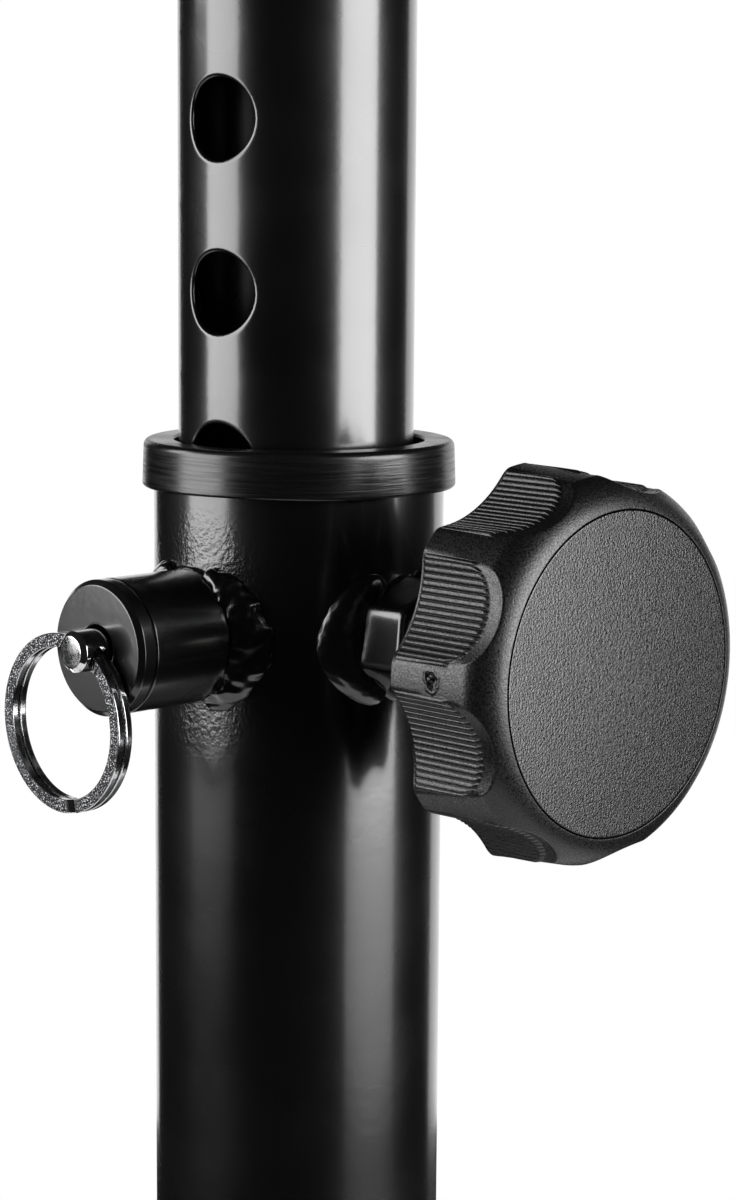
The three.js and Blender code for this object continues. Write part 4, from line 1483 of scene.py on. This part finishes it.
    def stations(self) -> list[Span]:
        """Lists the grip's rings, from the rear to the cap's seat.

        Returns:
            Height and lobe radius of each ring.
        """
        rings = [(self.rear + self.rear_round * (1 - math.cos(b)),
                  self.radius - self.rear_round * (1 - math.sin(b)))
                 for b in np.linspace(0, math.pi / 2, QUARTER_POINTS)]
        length = self.shoulder - self.rear
        low, high = self.gate_place - self.gate_reach, self.gate_place + self.gate_reach
        rows = [*self.rear_rows, *np.linspace(low, high, self.gate_rows)]
        rows += list(np.arange(high + self.row, length, self.row))
        rings += [(self.rear + row, self.radius - self.draft * row / length) for row in rows]
        over = self.radius - self.draft - self.rim_radius
        power = 2 / self.front_power
        seat = (self.cap_radius + self.cap_gap + self.seat_margin - self.rim_radius) / over
        for a in np.linspace(0, math.acos(seat ** (self.front_power / 2)), self.front_steps):
            height = self.shoulder + (self.front_top - self.shoulder) * math.sin(a) ** power
            rings.append((height, self.rim_radius + over * math.cos(a) ** power))
        return rings

    def build_body(self, place: Matrix) -> None:
        """Makes the knob's body: grip, cap seat, screw bore, hub, webs and well.

        Args:
            place: the knob's place
        """
        angles = self.columns()
        stations = self.stations()
        rings = [self.grip(angles, *station) for station in stations]
        seat = self.cap_radius + self.cap_gap
        recess = self.face - self.cap_thickness - self.recess_clearance
        floor = self.rear + self.well
        last_height, last_radius = stations[-1]
        inner = rounded([(last_radius, last_height, 0), (seat, float(self.front_height(seat)), 0.1),
                         (seat, recess, 0.2), (self.bore, recess, 0.2), (self.bore, self.hub_rear, 0.3),
                         (self.hub_radius, self.hub_rear, 0.5), (self.hub_radius, floor, 0.6),
                         (self.well_radius, floor, 0.6), (self.well_radius, self.rear, 0.4),
                         (self.scallop_floor - self.rear_inset, self.rear, 0)], closed=False)
        rings += list(turned(inner, angles + math.pi / 2))
        shell = Shell()
        shell.add_rings(np.array(rings), Ends.LOOPED)
        low = Vector((self.hub_radius - self.web_overlap, -self.web / 2, self.rear + self.web_sunk))
        high = Vector((self.well_radius + self.web_overlap, self.web / 2, floor + self.web_overlap))
        for i in range(self.lobes):
            shell.add_block(low, high, self.turn + math.degrees(self.pitch) * i)
        self.keep(shell.build("star_grip", place), Body.KNOB, self.finish, "knob_body")

    def build_screw(self, place: Matrix) -> None:
        """Makes the clamp screw with its thread, a ridge that climbs one pitch in each turn.

        Args:
            place: the knob's place
        """
        angles = circle(self.thread_facets)
        heights = np.arange(self.screw_start + self.screw_lead_in, self.head_start,
                            self.thread_pitch / self.thread_steps)
        phase = heights[:, None] / self.thread_pitch - angles[None, :] / (2 * math.pi)
        groove = np.abs(2 * (phase % 1.0) - 1)
        sunk = np.clip(groove * self.flank_slope - self.crest_flat, 0, 1)
        radius = self.thread_radius - self.thread_depth * sunk
        rings = np.stack((radius * np.sin(angles), -radius * np.cos(angles),
                          np.broadcast_to(heights[:, None], radius.shape)), axis=2)
        nose_line = [(self.nose_radius, self.screw_start - self.nose),
                     (self.nose_radius, self.screw_start), (self.screw_neck, self.screw_start)]
        nose = turned(np.array(nose_line), angles)
        shell = Shell()
        shell.add_rings(np.concatenate((nose, rings)), Ends.CAPPED)
        corner = self.head_flats / math.sqrt(3)
        head = turned(np.array([(corner, self.head_start), (corner, self.head_end)]), circle(HEXAGON))
        shell.add_rings(head, Ends.CAPPED)
        screw = shell.build("clamping_screw", place)
        screw.data.set_sharp_from_angle(angle=math.radians(self.head_sharp))
        self.keep(screw, Body.KNOB, self.steel, "clamp_screw")

    def build(self) -> None:
        """Makes the knob, its cap and its screw."""
        place = outward(Side.KNOB.value, self.lock_height)
        self.build_body(place)
        back = self.face - self.cap_thickness
        crown = [(self.cap_radius * share, self.face - self.cap_crown * share ** 2, 0)
                 for share in np.linspace(1, 0, self.cap_rings)[2:-1]]
        corners = [(AXIS, back, 0), (self.cap_radius, back, 0.2),
                   (self.cap_radius, self.face - self.cap_crown, self.cap_edge), *crown,
                   (AXIS, self.face, 0)]
        cap = lathe("grip_cap", corners, False, place, LARGE_FACETS)
        self.keep(cap, Body.KNOB, self.cap_finish, "knob_cap")
        self.build_screw(place)


@dataclass(frozen=True)
class ReturnSpring:
    """The lock pin's return spring, which shortens as the pin is pulled: a copy of the solid's own coil,
    drawn at one length.
    """

    finish: Finish
    stroke: float = 4.0

    def build(self) -> None:
        """Copies the coil, at its own length."""
        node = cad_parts["pin_spring"]
        coil = bpy.data.objects.new("return_coil", node.data.copy())
        bpy.context.scene.collection.objects.link(coil)
        coil.matrix_world = node.matrix_world.copy()
        SubAssembly.keep(coil, Body.LOWER, self.finish, "pin_spring")
        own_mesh(coil)


@dataclass(frozen=True)
class HiddenPieces:
    """CAD pieces inside the pole, which keep their own solids and take a finish."""

    finishes: dict[str, Finish]

    def build(self) -> None:
        """Gives each piece its finish."""
        for node, finish in self.finishes.items():
            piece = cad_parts[node]
            piece.data.materials.clear()
            piece.data.materials.append(finish.material())
            LOG.info("%s: kept, in %s", node, finish.name)


# Studio

@dataclass(frozen=True)
class SoftBox:
    """A soft light that faces the lock.

    Its azimuth counts from the camera's. Azimuth, low and high edge and width are in degrees, as the lock
    sees them, and the distance is in millimetres.
    """

    name: str
    azimuth: float
    low: float
    high: float
    width: float
    distance: float
    radiance: float


@dataclass
class Studio:
    """Floor, backdrop, soft lights and the camera at the photograph's angle."""

    lock_height: float
    boxes: tuple[SoftBox, ...] = (
        SoftBox("left_box", -76.5, -8.5, 28.0, 38.0, 900.0, 5.2),
        SoftBox("left_box_edge", -73.0, -16.0, 34.0, 40.0, 930.0, 0.4),
        SoftBox("left_box_high", -104.0, 8.0, 36.0, 18.0, 930.0, 5.0),
        SoftBox("right_box", 62.5, -13.5, 28.0, 40.0, 900.0, 7.2),
        SoftBox("right_box_edge", 60.0, -21.0, 34.0, 44.0, 930.0, 1.6),
    )
    floor_radius: float = 460.0
    floor_inner: float = 1.0
    floor_rings: int = 12
    floor_drop: float = 0.5
    floor_colour: str = "#ececec"
    floor_roughness: float = 0.8
    floor_fade: Span = (120.0, 440.0)
    backdrop_radius: float = 1300.0
    backdrop_height: float = 900.0
    backdrop_from: float = 134.0
    backdrop_to: float = 206.0
    backdrop_columns: int = 40
    white: str = "#ffffff"
    dim: float = 0.012
    camera_distance: float = 353.76
    camera_height: float = 56.63
    camera_yaw: float = 1.375
    camera_pitch: float = 8.709
    camera_roll: float = 0.401
    camera_clip: float = 1.0
    focal_pixels: float = 2941.95
    photo_height: int = 1200
    sensor: float = 36.0

    def toward(self, azimuth: float, elevation: float = 0.0) -> Vector:
        """Turns two angles to a direction.

        Args:
            azimuth: azimuth, counted from the camera's
            elevation: elevation
        Returns:
            The direction, of length 1.
        """
        a = math.radians(Side.CAMERA.value + azimuth)
        e = math.radians(elevation)
        return Vector((math.sin(a) * math.cos(e), -math.cos(a) * math.cos(e), math.sin(e)))

    def build(self) -> None:
        """Sets up the whole studio."""
        self.build_world()
        self.build_floor()
        self.build_backdrop()
        for box in self.boxes:
            self.build_box(box)
        self.build_camera()
        bpy.context.scene.view_settings.view_transform = "Standard"

    def seen_directly(self, tree: bpy.types.NodeTree) -> bpy.types.NodeSocket:
        """Tells apart the rays that show a surface as it is: camera, glossy and transmission rays.

        Args:
            tree: the material's nodes
        Returns:
            1 for those rays and 0 for others.
        """
        path = add_node(tree, "LightPath").outputs
        either = add_node(tree, "Math", {0: path["Is Camera Ray"], 1: path["Is Glossy Ray"]},
                          operation="MAXIMUM")
        return add_node(tree, "Math", {0: either.outputs[0], 1: path["Is Transmission Ray"]},
                        operation="MAXIMUM").outputs[0]

    def build_world(self) -> None:
        """Makes a dark room that the camera sees as white."""
        world = bpy.data.worlds.new("studio_room")
        bpy.context.scene.world = world
        world.use_nodes = True
        tree = world.node_tree
        tree.nodes.clear()
        room = add_node(tree, "Background", {"Color": (self.dim, self.dim, self.dim, 1.0)})
        white = add_node(tree, "Background", {"Color": linear(self.white)})
        path = add_node(tree, "LightPath")
        shaders = {0: path.outputs["Is Camera Ray"], 1: room.outputs[0], 2: white.outputs[0]}
        both = add_node(tree, "MixShader", shaders)
        add_node(tree, "OutputWorld", {0: both.outputs[0]})

    def build_floor(self) -> None:
        """Makes a pale floor under the foot, which keeps its shadow and runs out to white."""
        shell = Shell()
        radii = np.linspace(self.floor_inner, self.floor_radius, self.floor_rings)
        line = np.array([(radius, -self.floor_drop) for radius in radii])
        shell.add_rings(turned(line, circle(SMALL_FACETS)), Ends.OPEN)
        floor = shell.build("floor")
        made = bpy.data.materials.new("pale_floor")
        made.use_nodes = True
        tree = made.node_tree
        shader = tree.nodes["Principled BSDF"]
        shader.inputs["Base Color"].default_value = linear(self.floor_colour)
        shader.inputs["Roughness"].default_value = self.floor_roughness
        here = add_node(tree, "TexCoord").outputs["Object"]
        away = add_node(tree, "VectorMath", {0: here}, operation="LENGTH").outputs["Value"]
        reach = (self.floor_fade[0] * MM, self.floor_fade[1] * MM)
        fade = add_node(tree, "MapRange", span_of(away, reach, (0.0, 1.0)),
                        interpolation_type="SMOOTHSTEP")
        seen = {0: fade.outputs["Result"], 1: self.seen_directly(tree)}
        share = add_node(tree, "Math", seen, operation="MULTIPLY")
        white = add_node(tree, "Emission", {"Color": linear(self.white), "Strength": 1.0})
        shaders = {0: share.outputs[0], 1: shader.outputs[0], 2: white.outputs[0]}
        mixed = add_node(tree, "MixShader", shaders)
        tree.links.new(mixed.outputs[0], tree.nodes["Material Output"].inputs["Surface"])
        floor.data.materials.append(made)

    def build_backdrop(self) -> None:
        """Makes the white sheet behind the pole, which the camera looks through and polished faces show."""
        count = self.backdrop_columns
        azimuths = np.linspace(self.backdrop_from, self.backdrop_to, count) + Side.CAMERA.value
        line = np.array([(self.backdrop_radius, 0), (self.backdrop_radius, self.backdrop_height)])
        sheet = Shell()
        first = sheet.add_points(turned(line, np.radians(azimuths)))
        for j in range(count - 1):
            sheet.faces.append((first + j, first + j + 1, first + count + j + 1, first + count + j))
        backdrop = sheet.build("backdrop")
        made = bpy.data.materials.new("white_backdrop")
        made.use_nodes = True
        tree = made.node_tree
        white = add_node(tree, "Emission", {"Color": linear(self.white), "Strength": 1.0})
        tree.links.new(white.outputs[0], tree.nodes["Material Output"].inputs["Surface"])
        backdrop.data.materials.append(made)
        backdrop.visible_camera = False

    def build_box(self, box: SoftBox) -> None:
        """Makes one soft light, upright and facing the pole.

        Args:
            box: its place, its size and its radiance
        """
        low, high = [box.distance * math.tan(math.radians(e)) for e in (box.low, box.high)]
        lamp = bpy.data.lights.new(box.name, "AREA")
        lamp.shape = "RECTANGLE"
        lamp.size = 2 * box.distance * math.tan(math.radians(box.width / 2)) * MM
        lamp.size_y = (high - low) * MM
        lamp.energy = box.radiance * math.pi * lamp.size * lamp.size_y
        holder = bpy.data.objects.new(box.name, lamp)
        bpy.context.scene.collection.objects.link(holder)
        way = self.toward(box.azimuth)
        holder.location = (way * box.distance + Vector((0, 0, self.lock_height + (low + high) / 2))) * MM
        holder.rotation_euler = way.to_track_quat("Z", "Y").to_euler()

    def build_camera(self) -> None:
        """Makes a camera that sees the lock as the photograph's camera did."""
        camera = bpy.data.cameras.new("camera")
        camera.sensor_width = self.sensor
        camera.lens = self.focal_pixels * self.sensor / self.photo_height
        camera.clip_start = self.camera_clip * MM
        holder = bpy.data.objects.new("camera", camera)
        bpy.context.scene.collection.objects.link(holder)
        bpy.context.scene.camera = holder
        yaw, pitch, roll = [math.radians(a) for a in (self.camera_yaw, self.camera_pitch, self.camera_roll)]
        level = math.cos(pitch)
        ahead = Vector((math.sin(yaw) * level, math.cos(yaw) * level, -math.sin(pitch)))
        right = Vector((math.cos(yaw), -math.sin(yaw), 0))
        up = right.cross(ahead)
        rolled_right = right * math.cos(roll) + up * math.sin(roll)
        rolled_up = up * math.cos(roll) - right * math.sin(roll)
        turn = Matrix.Rotation(math.radians(Side.CAMERA.value), 3, "Z")
        axes = Matrix((turn @ rolled_right, turn @ rolled_up, turn @ -ahead)).transposed()
        holder.matrix_world = axes.to_4x4()
        height = Vector((0, 0, self.lock_height + self.camera_height))
        holder.location = (self.toward(0) * self.camera_distance + height) * MM


def main() -> None:
    """Builds the pole's sub-assemblies and the studio."""
    logging.basicConfig(level=logging.INFO, format="%(name)s: %(message)s")
    pin_low, pin_high = node_box("pin_boss")
    tube_low, tube_high = node_box("lower_tube")
    lock_height = (pin_low.z + pin_high.z) / 2
    tube_radius = (tube_high.x - tube_low.x) / 2
    seams = ((0.0, -tube_radius, lock_height),)
    coat = PowderCoat("powder_coated_steel", "powder_coat", "#070708", 0.26)
    welded = PowderCoat("powder_coated_welded_tube", "powder_coat", "#070708", 0.26, welds=seams)
    collar = RubbedPlastic("moulded_polyamide_rubbed", "collar_plastic", "#0d0d0e", 0.26, specular=0.65)
    grip = GrainedPlastic("glass_filled_polyamide", "knob_plastic", "#0c0c0d", 0.36, specular=0.6,
                          grain_size=0.24, grain_depth=0.03, fleck=0.6, sparkle=0.4)
    cap = GrainedPlastic("spark_grained_polyamide", "knob_cap_plastic", "#0e0e0f", 0.245, specular=0.9,
                         grain_size=0.27, grain_depth=0.045, fleck=0.8, sparkle=0.5)
    chrome = PlatedSteel("chrome_plated_steel", "chrome", "#dededf", 0.1, pit_size=0.5, pit_depth=0.003)
    wire = FlatWire("chrome_plated_flat_wire", "chrome", "#d6d6d8", 0.12)
    zinc = PlatedSteel("zinc_plated_steel", "zinc_steel", "#b4b4b0", 0.32)
    nylon = Nylon("turned_nylon", "nylon", "#dcdad0", 0.5)
    shared = {"lock_height": lock_height, "tube_radius": tube_radius}
    LowerTube(**shared, finish=welded, plastic=collar).build()
    Mast(**shared, finish=coat, plastic=collar, steel=zinc).build()
    Collar(**shared, finish=collar).build()
    PinBoss(**shared, finish=coat).build()
    LockPin(**shared, finish=chrome).build()
    SplitRing(**shared, finish=wire).build()
    ClampNut(**shared, finish=coat).build()
    Knob(**shared, finish=grip, cap_finish=cap, steel=zinc).build()
    ReturnSpring(zinc).build()
    HiddenPieces({"spring_washer": zinc, "pressure_pad": nylon, "glide_plug": collar}).build()
    Studio(lock_height).build()


if __name__ == "__main__":
    main()
